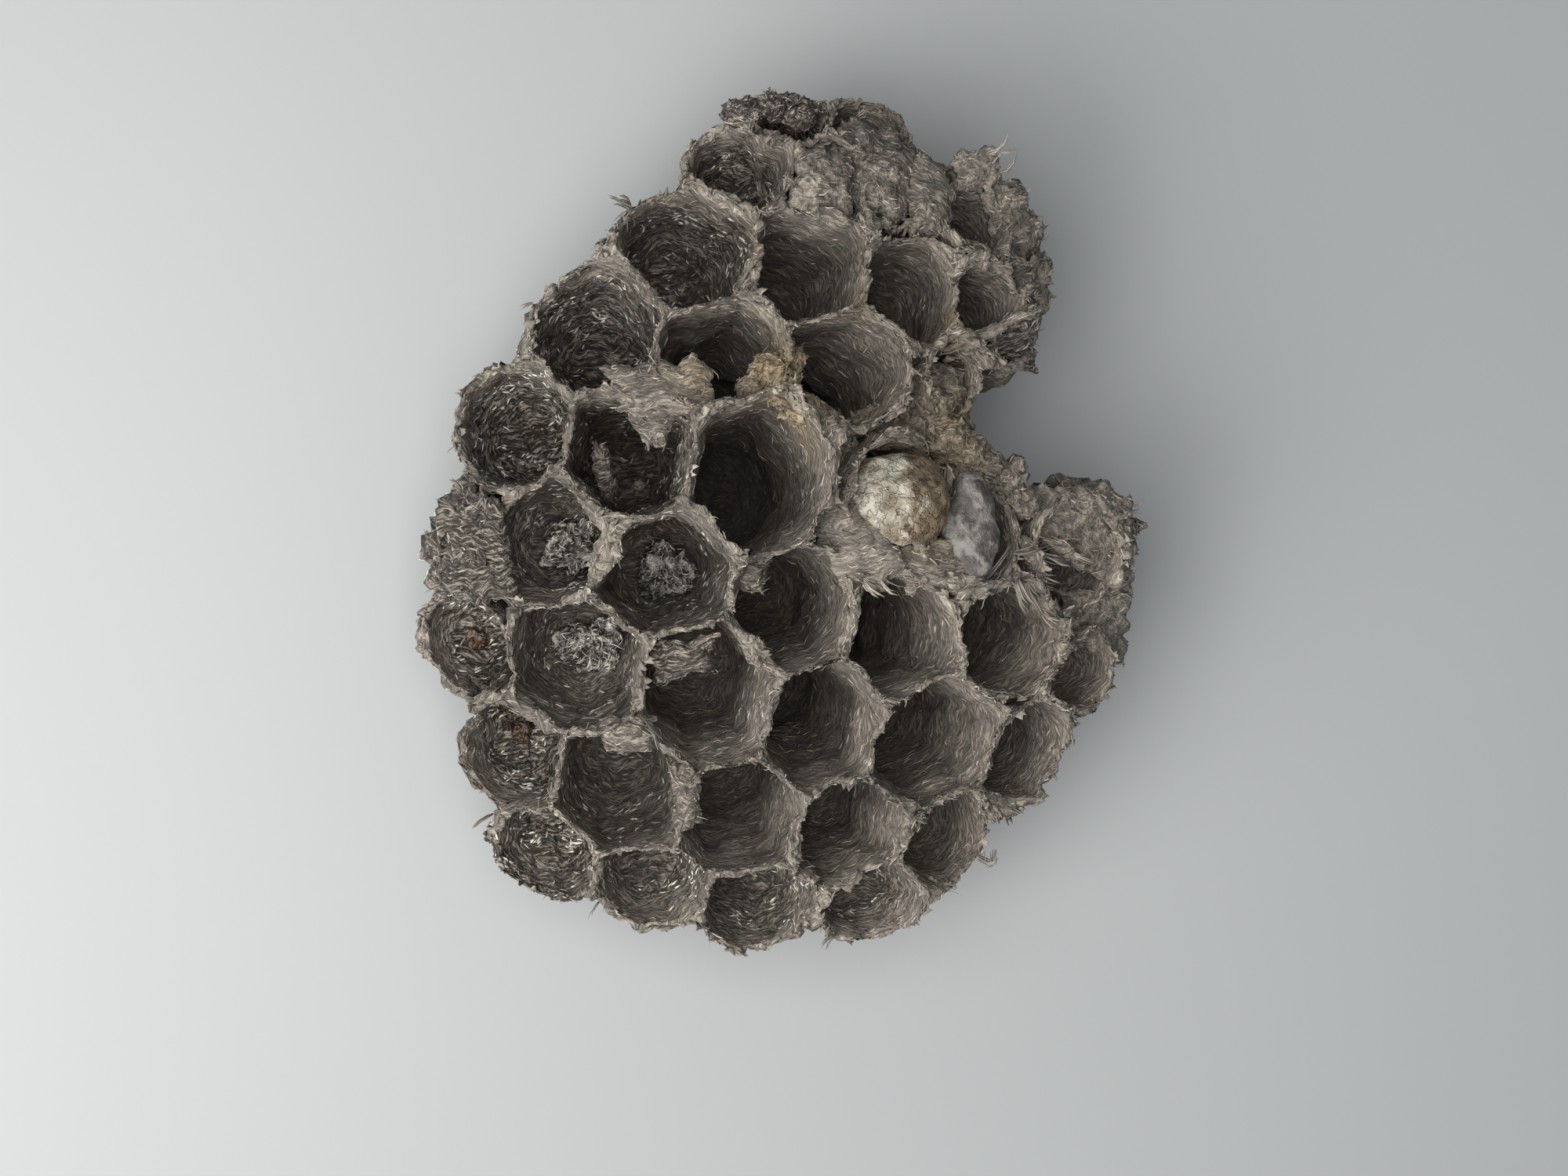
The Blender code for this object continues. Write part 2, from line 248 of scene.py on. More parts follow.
def rim_level(points):
    """Return the level of the paper's edge over layout points: higher where cells meet, a little ragged."""
    apart = np.linalg.norm(points[:, None] - middles[None], axis=2)
    power = (apart ** 2 - girths[None] ** 2) / 11.0
    past = power - power.min(axis=1, keepdims=True)
    planes = rims - RIM_FALL * offs * ((points[:, None] - middles[None]) * outwards[None]).sum(axis=2)
    weights = np.exp(RIM_SOFTNESS * (planes - 10.0) - RIM_REACH * past)
    level = np.log(weights.sum(axis=1)) / RIM_SOFTNESS + 10.0 - math.log(2.0) / RIM_SOFTNESS
    ragged = [0.40 * noise.noise((x * 0.7, y * 0.7, 3.0)) + 0.32 * noise.noise((x * 2.1, y * 2.1, 9.0))
              for x, y in points]
    return level + np.array(ragged)


def outline_of(cell, offset):
    """Return a cell's outline as AROUND distances from its middle, moved outwards by an offset."""
    turns = 2 * math.pi * np.arange(AROUND) / AROUND
    gaps = middles - middles[cell]
    apart = np.linalg.norm(gaps, axis=1)
    near = [k for k in range(len(names)) if k != cell and apart[k] < MEETING * (girths[cell] + girths[k])]
    headings = np.sort([math.atan2(gaps[k][1], gaps[k][0]) % (2 * math.pi) for k in near])
    reach = np.full(AROUND, girths[cell])
    if len(headings):
        after = np.searchsorted(headings, turns) % len(headings)
        width = (headings[after] - headings[after - 1]) % (2 * math.pi)
        reach[(width < BETWEEN) & (width > 0)] *= CORNER
    limits = [reach + offset]
    for k in near:
        shared = (apart[k] ** 2 + girths[cell] ** 2 - girths[k] ** 2) / (2 * apart[k])
        facing = np.cos(turns - math.atan2(gaps[k][1], gaps[k][0]))
        limits.append(np.where(facing > 0.05, (shared + offset) / np.maximum(facing, 0.05), 99.0))
    limits = np.array(limits)
    return (limits ** -CORNER_ROUNDING).sum(axis=0) ** (-1 / CORNER_ROUNDING)


def pulpy(points, under):
    """Return how much pulp thickens each side of the walls over layout points, at a depth under the rim."""
    spots = np.array([noise.noise((x * 0.28, y * 0.28, 6.0)) for x, y in points])
    return PULPY * np.maximum(spots - 0.05, 0) * math.exp(-max(under, 0) / PULPY_DEPTH)


def cell_rings(cell, offset_at, below, above, step, swell):
    """Return one cell's rings of points, from the pole of its floor to its rim."""
    turns = 2 * math.pi * np.arange(AROUND) / AROUND
    compass = np.column_stack([np.cos(turns), np.sin(turns)])
    rim, floor = rims[cell], floors[cell]
    bowl_height = min(BOWL_HEIGHT, BOWL_SHARE * (rim - floor)) * 1.25
    full = outline_of(cell, offset_at(0.0))
    edge = rim_level(middles[cell] + compass * full[:, None])
    deep_outline = outline_of(cell, offset_at(5.0))
    rings = []
    for rise in BOWL_STEPS:
        width = (1 - (1 - rise) ** 2.6) ** (1 / 2.2)
        level = np.full(AROUND, floor - below + rise * bowl_height)
        rings.append(fan(middles[cell] + compass * (deep_outline * width)[:, None], level))
    start = floor - below + bowl_height
    steps = max(3, round((rim - start) / step))
    for count in range(1, steps + 1):
        share = 1 - (1 - count / steps) ** 1.35
        level = start + (edge + above - start) * share
        under = (edge + above - level).mean() - above
        thick = swell * pulpy(middles[cell] + compass * full[:, None], under)
        outline = outline_of(cell, offset_at(under) + thick)
        rings.append(fan(middles[cell] + compass * outline[:, None], level))
    return rings


def tube_mesh(rings, sink):
    """Put a closed solid through rings of points, lowest first, into a bmesh."""
    levels = [[sink.verts.new(point * MM) for point in ring] for ring in rings]
    for lower, upper in zip(levels, levels[1:]):
        for side in range(AROUND):
            after = (side + 1) % AROUND
            sink.faces.new((lower[side], lower[after], upper[after], upper[side]))
    sink.faces.new(reversed(levels[0]))
    sink.faces.new(levels[-1])


def mesh_object(name, sink, collection):
    """Make a bmesh an object in a collection."""
    data = bpy.data.meshes.new(name)
    sink.to_mesh(data)
    sink.free()
    return placed(name, data, collection)


def cell_object(name, rings, collection):
    """Make one closed solid through rings of points an object in a collection."""
    sink = bmesh.new()
    tube_mesh(rings, sink)
    bmesh.ops.triangulate(sink, faces=[face for face in sink.faces if len(face.verts) > 4])
    return mesh_object(name, sink, collection)


def half_wall(under):
    """Return the inward offset of a hollow at a depth under its rim: the wall thins towards its edge."""
    share = min(max(under / FULL_WALL, 0.0), 1.0)
    return -(WALL_AT_RIM + (WALL_BELOW - WALL_AT_RIM) * share) / 2


def outer_wall(under):
    """Return the outward offset of a blank at a depth under its rim."""
    return 0.06 + 0.27 * min(max(under / FULL_WALL, 0.0), 1.0)


blanks = bpy.data.collections.new("blanks")
hollows = bpy.data.collections.new("hollows")
for collection in (blanks, hollows):
    bpy.context.scene.collection.children.link(collection)
for cell in range(len(names)):
    cell_object("blank", cell_rings(cell, outer_wall, FLOOR, 0.0, 0.9, 0.6), blanks)
    cell_object("hollow", cell_rings(cell, half_wall, 0.0, 4.0, 0.45, -1.0), hollows)

WEB_RADIUS = 0.95
WEB_DEPTH = 3.2


def edge_notches():
    """Return the layout points where two outer cells meet and no third stands, and the way out from each."""
    found = []
    for cell in range(len(names)):
        for other in range(cell + 1, len(names)):
            gap = middles[other] - middles[cell]
            apart = np.linalg.norm(gap)
            if apart < MEETING * (girths[cell] + girths[other]):
                share = (apart ** 2 + girths[cell] ** 2 - girths[other] ** 2) / (2 * apart)
                rise = math.sqrt(max(girths[cell] ** 2 - share ** 2, 0.3))
                across = np.array([-gap[1], gap[0]]) / apart
                for side in (-across, across):
                    point = middles[cell] + gap / apart * share + side * rise
                    reached = np.linalg.norm(middles - point, axis=1) < 1.15 * girths
                    reached[[cell, other]] = False
                    if not reached.any():
                        found.append((point, side))
    return found


def web_rings(point):
    """Return the rings of the wedge of pulp that fills the corner between two outer cells."""
    turns = 2 * math.pi * np.arange(AROUND) / AROUND
    compass = np.column_stack([np.cos(turns), np.sin(turns)])
    top = rim_level(point + compass * WEB_RADIUS)
    rings = []
    for share in (0.0, 0.3, 0.6, 0.8, 0.93, 1.0):
        radius = WEB_RADIUS * (0.35 + 0.65 * share ** 0.7)
        rings.append(fan(point + compass * radius, top - WEB_DEPTH * (1 - share)))
    return rings


for point, side in edge_notches():
    cell_object("web", web_rings(point + side * 0.15), blanks)

SWELLINGS = {  # before hollowing: middle, half sizes, turn about Y
    "squashed side": ((15.8, 2.2, 9.3), (3.1, 3.0, 3.6), 17),
    "crushed wall": ((-14.6, 1.9, 8.4), (1.9, 3.1, 3.1), 0),
}
LUMP_BULGES = ((0.9, 0.25), (2.3, 0.22), (5.5, 0.12))      # waves a millimetre, height as a share of the size


def pulp_lump(name, place, half_sizes, turn, collection):
    """Make one rounded, uneven lump of pulp, turned about Y."""
    sink = bmesh.new()
    bmesh.ops.create_icosphere(sink, subdivisions=4, radius=1.0)
    for vertex in sink.verts:
        point = vertex.co * Vector(half_sizes) + Vector(place)
        vertex.co *= 1.0 + sum(height * noise.noise(point * waves) for waves, height in LUMP_BULGES)
    turned = Matrix.Rotation(math.radians(turn), 4, "Y")
    sized = Matrix.Diagonal((*(Vector(half_sizes) * MM), 1.0))
    shape = Matrix.Translation(Vector(place) * MM) @ turned @ sized
    bmesh.ops.transform(sink, matrix=shape, verts=sink.verts)
    mesh_object(name, sink, collection)


for name, (place, half_sizes, turn) in SWELLINGS.items():
    pulp_lump(name, place, half_sizes, turn, blanks)


def boolean_all(item, operation, others):
    """Join an object with, or cut it by, every object of a collection, and remove them."""
    bpy.context.view_layer.objects.active = item
    cut = item.modifiers.new(operation, "BOOLEAN")
    cut.operation = operation
    cut.solver = "MANIFOLD"
    cut.operand_type = "COLLECTION"
    cut.collection = others
    bpy.ops.object.modifier_apply(modifier=cut.name)
    for other in list(others.objects):
        bpy.data.objects.remove(other)
    bpy.data.collections.remove(others)


def first_of(name, collection):
    """Take a collection's first object out of it as the start of a new object."""
    first = collection.objects[0]
    item = placed(name, first.data.copy())
    bpy.data.objects.remove(first)
    return item


comb = first_of("comb_paper", blanks)
boolean_all(comb, "UNION", blanks)
boolean_all(comb, "DIFFERENCE", hollows)


def mesh_places(item):
    """Return an object's vertices in millimetres."""
    places = np.empty(len(item.data.vertices) * 3)
    item.data.vertices.foreach_get("co", places)
    return places.reshape(-1, 3) / MM


def layout_of(places):
    """Return the layout points on whose rays the places lie."""
    return places[:, :2] * ((FAN_DEPTH + MOUTH_LEVEL) / (FAN_DEPTH + places[:, 2]))[:, None]


def cell_of(points):
    """Return the index of the cell that each layout point belongs to."""
    apart = np.linalg.norm(points[:, None] - middles[None], axis=2)
    return (apart ** 2 - girths[None] ** 2).argmin(axis=1)


def smooth(low, high, values):
    """Return 0 below low, 1 above high and a smooth rise between."""
    share = np.clip((values - low) / (high - low), 0, 1)
    return share * share * (3 - 2 * share)


LINED = {  # the cells lined with dark, shiny silk, and how strongly
    "a1": 1.0, "a2": 0.9, "b1": 0.7, "c1": 0.9, "d1": 1.0, "d2": 0.6, "e1": 0.5, "e2": 0.3, "f1": 1.0,
    "f2": 0.4, "g1": 1.0, "g2": 0.4, "h1": 1.0, "h2": 0.7, "h3": 0.6, "h4": 0.5,
}
STAINS = (  # yellow-brown: place, radius, strength
    ((-0.8, 10.3, 15.8), 1.5, 1.0), ((0.6, 8.6, 15.9), 1.2, 0.9), ((0.1, 11.1, 15.8), 0.8, 0.9),
    ((2.0, 7.5, 15.4), 1.2, 0.7), ((8.3, 12.4, 14.0), 0.8, 1.0), ((8.0, 7.0, 12.7), 2.3, 0.6),
    ((5.4, 7.7, 13.8), 1.4, 0.6), ((6.9, 2.4, 15.2), 1.1, 0.4), ((-0.8, 16.6, 14.5), 1.0, 0.5),
    ((3.4, 13.8, 15.0), 1.0, 0.5), ((-4.5, 10.2, 16.0), 1.2, 0.5),
)
SILKY_SPOTS = (  # dark, shiny, crinkled paper outside the lined cells: place, radius
    ((-15.0, 1.6, 10.6), 2.6), ((0.4, 24.0, 10.3), 1.9), ((-12.4, -14.6, 8.0), 2.6),
)
lined_by_cell = np.array([LINED.get(name, 0.0) for name in names])


def marks_at(places):
    """Return, for places before the warp, how near the rim, lined, stained and deep they are, each 0 to 1; the
    depth sets a painted shade.
    """
    points = layout_of(places)
    under = rim_level(points) - places[:, 2]
    stained = np.zeros(len(places))
    for place, radius, strength in STAINS:
        near = np.exp(-(((places - np.array(place)) / radius) ** 2).sum(axis=1))
        stained = np.maximum(stained, near * strength)
    worn = np.array([0.55 + 1.1 * noise.noise(Vector(place) * 0.55) for place in places])
    lined = lined_by_cell[cell_of(points)] * smooth(0.4, 2.0, under)
    for place, radius in SILKY_SPOTS:
        lined = np.maximum(lined, np.exp(-(((places - np.array(place)) / radius) ** 4).sum(axis=1)))
    return np.column_stack([
        np.exp(-np.maximum(under, 0) / 0.8) * np.clip(worn, 0.1, 1.0),
        lined,
        stained,
        # depth under the rim, which darkens the paper deep in the cells: painted shade
        smooth(8.5, 17.5, under),
    ])


def add_marks(mesh, values):
    """Keep four marks for each vertex of a mesh as a colour attribute."""
    layer = mesh.attributes.new("marks", "FLOAT_COLOR", "POINT")
    layer.data.foreach_set("color", values.astype(np.float32).ravel())


FLOOR_SHARE = 0.6             # nearer a cell's middle than this share of its width, the fibres lie straight


def add_grain(mesh, places):
    """Give a mesh a map in millimetres whose first axis runs round the cells, and straight over floors."""
    corners = np.empty(len(mesh.loops), int)
    mesh.loops.foreach_get("vertex_index", corners)
    sizes = np.empty(len(mesh.polygons), int)
    mesh.polygons.foreach_get("loop_total", sizes)
    face = np.repeat(np.arange(len(sizes)), sizes)
    centres = np.zeros((len(sizes), 3))
    np.add.at(centres, face, places[corners])
    centres /= sizes[:, None]
    centre_points = layout_of(centres)
    owner = cell_of(centre_points)
    centre_arms = centre_points - middles[owner]
    centre_turns = np.arctan2(centre_arms[:, 1], centre_arms[:, 0])[face]
    on_floor = (np.linalg.norm(centre_arms, axis=1) < FLOOR_SHARE * girths[owner])[face]
    owner = owner[face]
    arms = layout_of(places)[corners] - middles[owner]
    turns = np.arctan2(arms[:, 1], arms[:, 0]) - centre_turns
    turns = (turns + math.pi) % (2 * math.pi) - math.pi + centre_turns
    along = turns * girths[owner] + 40.0 * owner
    across = places[corners][:, 2] + np.linalg.norm(arms, axis=1)
    along = np.where(on_floor, arms[:, 0] + 40.0 * owner, along)
    across = np.where(on_floor, arms[:, 1], across)
    grain = mesh.uv_layers.new(name="grain")
    grain.data.foreach_set("uv", np.column_stack([along, across]).astype(np.float32).ravel())


WARP_SEED = 692               # without a seed, noise_vector would start from the clock
noise.seed_set(WARP_SEED)


def warp(places):
    """Return places in millimetres moved by slow, smooth waves, as dry paper warps."""
    moved = np.empty_like(places)
    for index, place in enumerate(places):
        point = Vector(place)
        slow = noise.noise_vector(point * 0.17 + Vector((5, 2, 8)))
        quick = noise.noise_vector(point * 0.8 + Vector((1, 7, 3)))
        fine = noise.noise_vector(point * 2.6 + Vector((4, 4, 1)))
        move = slow * 0.65 + quick * 0.34 + fine * 0.10
        move.z *= min(max((place[2] - 0.5) / 3.0, 0.0), 1.0)
        moved[index] = point + move
    return moved


def crumple(places, normals, lined):
    """Return places moved along their normals, most outside the cells and where silk lines them."""
    moves = np.array([noise.noise(Vector(place) * 1.2) + 0.6 * noise.noise(Vector(place) * 2.7)
                      + 0.4 * noise.noise(Vector(place) * 5.0) for place in places])
    apart = np.linalg.norm(layout_of(places)[:, None] - middles[None], axis=2)
    outside = smooth(0.92, 1.04, (apart / girths[None]).min(axis=1))
    return places + normals * (moves * (0.05 + 0.22 * lined + 0.20 * outside))[:, None]


NEAR_RIM = 0.8                # how far below the edge the paper is rough


def roughen_rims(item):
    """Cut the faces near the rims finer and pull their points about, so that the edges are worn."""
    sink = bmesh.new()
    sink.from_mesh(item.data)
    places = mesh_places(item)
    near = rim_level(layout_of(places)) - places[:, 2] < NEAR_RIM
    edges = [edge for edge in sink.edges
             if near[edge.verts[0].index] and near[edge.verts[1].index] and edge.calc_length() > 0.2 * MM]
    bmesh.ops.subdivide_edges(sink, edges=edges, cuts=1, use_grid_fill=True)
    bmesh.ops.triangulate(sink, faces=sink.faces)
    sink.to_mesh(item.data)
    sink.free()
    places = mesh_places(item)
    under = np.maximum(rim_level(layout_of(places)) - places[:, 2], 0)
    worn = np.exp(-under / 0.55)
    for index in np.flatnonzero(worn > 0.05):
        point = Vector(places[index])
        move = noise.noise_vector(point * 2.4) * 0.10 + noise.noise_vector(point * 5.5) * 0.05
        move.z += 0.36 * noise.noise(point * 1.7) + 0.16 * noise.noise(point * 4.2)
        places[index] += np.array(move) * worn[index]
    item.data.vertices.foreach_set("co", (places * MM).ravel())


roughen_rims(comb)
comb_before = mesh_places(comb)
comb_marks = marks_at(comb_before)
add_marks(comb.data, comb_marks)
add_grain(comb.data, comb_before)
comb_normals = np.array([vertex.normal for vertex in comb.data.vertices])
comb_after = warp(crumple(comb_before, comb_normals, comb_marks[:, 1]))
comb_after[:, 2] = np.maximum(comb_after[:, 2], 0.0)
comb.data.vertices.foreach_set("co", (comb_after * MM).ravel())
comb.data.update()
comb.data.shade_smooth()


def add(tree, kind, **settings):
    """Add a node to a shader tree and set its properties."""
    node = tree.nodes.new(kind)
    for key, value in settings.items():
        setattr(node, key, value)
    return node


def plug(tree, value, socket):
    """Feed a socket from another socket, a number or a colour of three parts."""
    if isinstance(value, bpy.types.NodeSocket):
        tree.links.new(value, socket)
    elif isinstance(value, tuple):
        socket.default_value = (*value, 1.0)
    else:
        socket.default_value = value


def math_node(tree, operation, *values):
    """Add a math node on sockets or numbers, and return its output."""
    node = add(tree, "ShaderNodeMath", operation=operation)
    for value, socket in zip(values, node.inputs):
        plug(tree, value, socket)
    return node.outputs[0]


def weighted_sum(tree, *terms, offset=0.0):
    """Sum sockets times their weights and an offset, and return the result."""
    total = offset
    for value, weight in terms:
        total = math_node(tree, "MULTIPLY_ADD", value, weight, total)
    return total


def step_node(tree, value, low, high):
    """Add a node that turns a value into 0 below low, 1 above high and a smooth rise between."""
    node = add(tree, "ShaderNodeMapRange", interpolation_type="SMOOTHSTEP")
    tree.links.new(value, node.inputs["Value"])
    node.inputs["From Min"].default_value = low
    node.inputs["From Max"].default_value = high
    return node.outputs["Result"]


def noise_node(tree, vector, detail=2.0, roughness=0.5, scale=1.0):
    """Add a noise texture on a vector and return its value."""
    node = add(tree, "ShaderNodeTexNoise")
    node.inputs["Scale"].default_value = scale
    node.inputs["Detail"].default_value = detail
    node.inputs["Roughness"].default_value = roughness
    tree.links.new(vector, node.inputs["Vector"])
    return node.outputs["Fac"]


def mapped(tree, vector, scale, turn=0.0, shift=(0, 0, 0)):
    """Add a mapping node and return the mapped vector."""
    node = add(tree, "ShaderNodeMapping")
    node.inputs["Scale"].default_value = scale
    node.inputs["Rotation"].default_value = (0, 0, turn)
    node.inputs["Location"].default_value = shift
    tree.links.new(vector, node.inputs["Vector"])
    return node.outputs["Vector"]


def mix_colour(tree, share, first, second, strength=1.0):
    """Mix two colours, given as sockets or values, by a share times a strength, and return the result."""
    node = add(tree, "ShaderNodeMix", data_type="RGBA")
    if strength != 1.0:
        share = math_node(tree, "MULTIPLY", share, strength)
    for value, socket in ((share, node.inputs[0]), (first, node.inputs[6]), (second, node.inputs[7])):
        plug(tree, value, socket)
    return node.outputs[2]


def bumped(tree, height, distance):
    """Feed a height to the shader's normal through a bump."""
    bump = add(tree, "ShaderNodeBump")
    bump.inputs["Distance"].default_value = distance
    tree.links.new(height, bump.inputs["Height"])
    tree.links.new(bump.outputs["Normal"], tree.nodes["Principled BSDF"].inputs["Normal"])


FELT_LAYERS = (               # turn, waves a millimetre along and across the grain, shift
    (0.10, (1.0, 6.5, 1.0), 0),
    (-0.2, (1.2, 5.5, 1.0), 31),
    (0.3, (1.5, 7.5, 1.0), 67),
)
FELT_SWAY = (0.6, 0.8, 0.6)   # how far the fibres sway, in millimetres


def felt_group():
    """Build the node group that draws a felt of wavy fibres over a grain map in millimetres."""
    group = bpy.data.node_groups.new("felt of fibres", "ShaderNodeTree")
    group.interface.new_socket("Grain", in_out="INPUT", socket_type="NodeSocketVector")
    for output in ("Fibres", "Speckle", "Bands", "Crinkles"):
        group.interface.new_socket(output, in_out="OUTPUT", socket_type="NodeSocketFloat")
    start = add(group, "NodeGroupInput").outputs["Grain"]
    end = add(group, "NodeGroupOutput")
    sway = add(group, "ShaderNodeTexNoise")
    sway.inputs["Scale"].default_value = 0.8
    sway.inputs["Detail"].default_value = 1.0
    group.links.new(start, sway.inputs["Vector"])
    centred = add(group, "ShaderNodeVectorMath", operation="SUBTRACT")
    group.links.new(sway.outputs["Color"], centred.inputs[0])
    centred.inputs[1].default_value = (0.5, 0.5, 0.5)
    swayed = add(group, "ShaderNodeVectorMath", operation="MULTIPLY_ADD")
    group.links.new(centred.outputs[0], swayed.inputs[0])
    swayed.inputs[1].default_value = FELT_SWAY
    group.links.new(start, swayed.inputs[2])
    layers = []
    for turn, size, shift in FELT_LAYERS:
        vector = mapped(group, swayed.outputs[0], size, turn, (shift, 0, 0))
        layers.append(step_node(group, noise_node(group, vector, 1.0, 0.4), 0.5, 0.68))
    fibres = math_node(group, "MAXIMUM", math_node(group, "MAXIMUM", layers[0], layers[1]), layers[2])
    speckle = noise_node(group, mapped(group, start, (2.6, 6.0, 1.0)), 4.0, 0.75)
    bands = noise_node(group, mapped(group, swayed.outputs[0], (0.16, 1.3, 1.0)), 2.0, 0.6)
    crinkles = noise_node(group, mapped(group, swayed.outputs[0], (1.7, 3.4, 1.0), 0.3), 3.0, 0.6)
    for output, value in (("Fibres", fibres), ("Speckle", speckle), ("Bands", bands), ("Crinkles", crinkles)):
        group.links.new(value, end.inputs[output])
    return group


PAPER_TONES = (               # tone, colour
    (0.0, (0.034, 0.028, 0.023)),
    (0.35, (0.112, 0.095, 0.078)),
    (0.65, (0.222, 0.190, 0.153)),
    (1.0, (0.49, 0.43, 0.355)),
)
# the silk lining: dark brown, with pale specks painted on as its glints: painted highlights
LINING_DARK, LINING_PAINTED_GLINT = (0.026, 0.018, 0.013), (0.40, 0.355, 0.30)
RIM_DARK, RIM_PALE = (0.13, 0.110, 0.088), (0.58, 0.515, 0.43)
STAIN_DARK, STAIN_PALE = (0.085, 0.052, 0.020), (0.56, 0.44, 0.25)
# painted shade: the colour that paper turns towards deep in the cells
DEEP_PAINTED_SHADE = (0.016, 0.014, 0.013)
PAPER_ROUGHNESS = 0.85
SILK_SMOOTHS = 0.6            # how much less rough the paper is under silk


def tint_group():
    """Build the node group that colours weathered paper from its tone and its marks, with painted glints on
    the silk lining and painted shade deep in the cells.
    """
    group = bpy.data.node_groups.new("weathered paper", "ShaderNodeTree")
    for name in ("Tone", "Rim", "Lined", "Stained", "Depth shade"):
        group.interface.new_socket(name, in_out="INPUT", socket_type="NodeSocketFloat")
    group.interface.new_socket("Colour", in_out="OUTPUT", socket_type="NodeSocketColor")
    group.interface.new_socket("Roughness", in_out="OUTPUT", socket_type="NodeSocketFloat")
    start = add(group, "NodeGroupInput").outputs
    end = add(group, "NodeGroupOutput")
    ramp = add(group, "ShaderNodeValToRGB")
    group.links.new(start["Tone"], ramp.inputs["Fac"])
    for stop in range(len(PAPER_TONES) - len(ramp.color_ramp.elements)):
        ramp.color_ramp.elements.new(0.5)
    for element, (place, colour) in zip(ramp.color_ramp.elements, PAPER_TONES):
        element.position = place
        element.color = (*colour, 1.0)
    # painted highlights: the lining's brightest tones turn pale, as glints
    painted_glints = step_node(group, start["Tone"], 0.38, 0.86)
    dark = mix_colour(group, painted_glints, LINING_DARK, LINING_PAINTED_GLINT)
    pale = mix_colour(group, start["Tone"], RIM_DARK, RIM_PALE)
    yellow = mix_colour(group, start["Tone"], STAIN_DARK, STAIN_PALE)
    colour = mix_colour(group, start["Rim"], ramp.outputs["Color"], pale, 0.6)
    colour = mix_colour(group, start["Lined"], colour, dark, 0.88)
    colour = mix_colour(group, start["Stained"], colour, yellow)
    # painted shade: darker the deeper the paper lies under the rim
    colour = mix_colour(group, start["Depth shade"], colour, DEEP_PAINTED_SHADE, 0.55)
    group.links.new(colour, end.inputs["Colour"])
    rough = weighted_sum(group, (start["Lined"], -SILK_SMOOTHS), offset=PAPER_ROUGHNESS)
    group.links.new(rough, end.inputs["Roughness"])
    return group


felt = felt_group()
tint = tint_group()


def tinted_paper(name, tone_from):
    """Start a paper material: the marks go through the tint group, and tone_from gives the tone's socket."""
    finish, tree, shader = new_finish(name)
    marks = add(tree, "ShaderNodeAttribute", attribute_name="marks")
    parts = add(tree, "ShaderNodeSeparateColor", name="marks")
    tree.links.new(marks.outputs["Color"], parts.inputs["Color"])
    tinted = add(tree, "ShaderNodeGroup", node_tree=tint)
    for socket, output in (("Rim", "Red"), ("Lined", "Green"), ("Stained", "Blue")):
        tree.links.new(parts.outputs[output], tinted.inputs[socket])
    tree.links.new(marks.outputs["Alpha"], tinted.inputs["Depth shade"])
    tree.links.new(tone_from(tree), tinted.inputs["Tone"])
    tree.links.new(tinted.outputs["Colour"], shader["Base Color"])
    tree.links.new(tinted.outputs["Roughness"], shader["Roughness"])
    shader["Specular IOR Level"].default_value = 0.75
    return finish


def felt_tone(tree):
    """Draw the felt on the grain map, use it as bump, and return its tone."""
    grain = add(tree, "ShaderNodeUVMap", uv_map="grain").outputs["UV"]
    felted = add(tree, "ShaderNodeGroup", node_tree=felt)
    tree.links.new(grain, felted.inputs["Grain"])
    fibres, speckle, bands = (felted.outputs[name] for name in ("Fibres", "Speckle", "Bands"))
    lined = tree.nodes["marks"].outputs["Green"]
    crinkles = math_node(tree, "MULTIPLY", felted.outputs["Crinkles"], lined)
    tone = weighted_sum(tree, (fibres, 0.36), (speckle, 1.5), (bands, 0.8), (crinkles, 0.6), (lined, -0.28),
                        offset=-0.86)
    bumped(tree, weighted_sum(tree, (fibres, 0.5), (speckle, 2.0), (bands, 2.4), (crinkles, 5.0)), 0.00011)
    return tone


comb_finish = tinted_paper("comb paper", felt_tone)
comb.data.materials.clear()
comb.data.materials.append(comb_finish)
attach(comb, "root")
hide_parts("comb")


# ---------------------------------------------------------------------------------------------------------
# The fibres that stand out of the paper.
# Short strands of chewed wood, stuck down with dried saliva. Most lie along the walls as they were laid. At
# the worn rims some have come loose and stand off the edge.
# ---------------------------------------------------------------------------------------------------------
strand_random = np.random.default_rng(11)


def make_skin(places, triangles, marks, grain_at):
    """Gather what strands need to lie on a surface: triangles, a search tree and the way its grain runs."""
    corners = places[triangles]
    crosses = np.cross(corners[:, 1] - corners[:, 0], corners[:, 2] - corners[:, 0])
    areas = np.linalg.norm(crosses, axis=1) / 2
    tree = BVHTree.FromPolygons([Vector(place) for place in places], triangles.tolist())
    return SimpleNamespace(corners=corners, areas=areas, tree=tree, marks=marks[triangles].mean(axis=1),
                           normals=crosses / np.maximum(2 * areas, 1e-9)[:, None], grain_at=grain_at)


def unit(vectors):
    """Return vectors brought to length one."""
    return vectors / np.maximum(np.linalg.norm(vectors, axis=-1, keepdims=True), 1e-9)


def turned_about(vectors, axes, angles):
    """Turn vectors about unit axes that they are square to."""
    return vectors * np.cos(angles)[:, None] + np.cross(axes, vectors) * np.sin(angles)[:, None]


def pick_places(skin, weights, count):
    """Pick places on a skin at random by area and weight, with the normal, grain and marks at each."""
    chance = skin.areas * weights
    picked = strand_random.choice(len(chance), count, p=chance / chance.sum())
    first, second = strand_random.random((2, count))
    flip = first + second > 1
    first[flip], second[flip] = 1 - first[flip], 1 - second[flip]
    corners = skin.corners[picked]
    places = corners[:, 0] + first[:, None] * (corners[:, 1] - corners[:, 0])
    places += second[:, None] * (corners[:, 2] - corners[:, 0])
    normals = skin.normals[picked]
    grains = skin.grain_at(places)
    grains = unit(grains - normals * (grains * normals).sum(axis=1)[:, None])
    return places, normals, grains, skin.marks[picked]


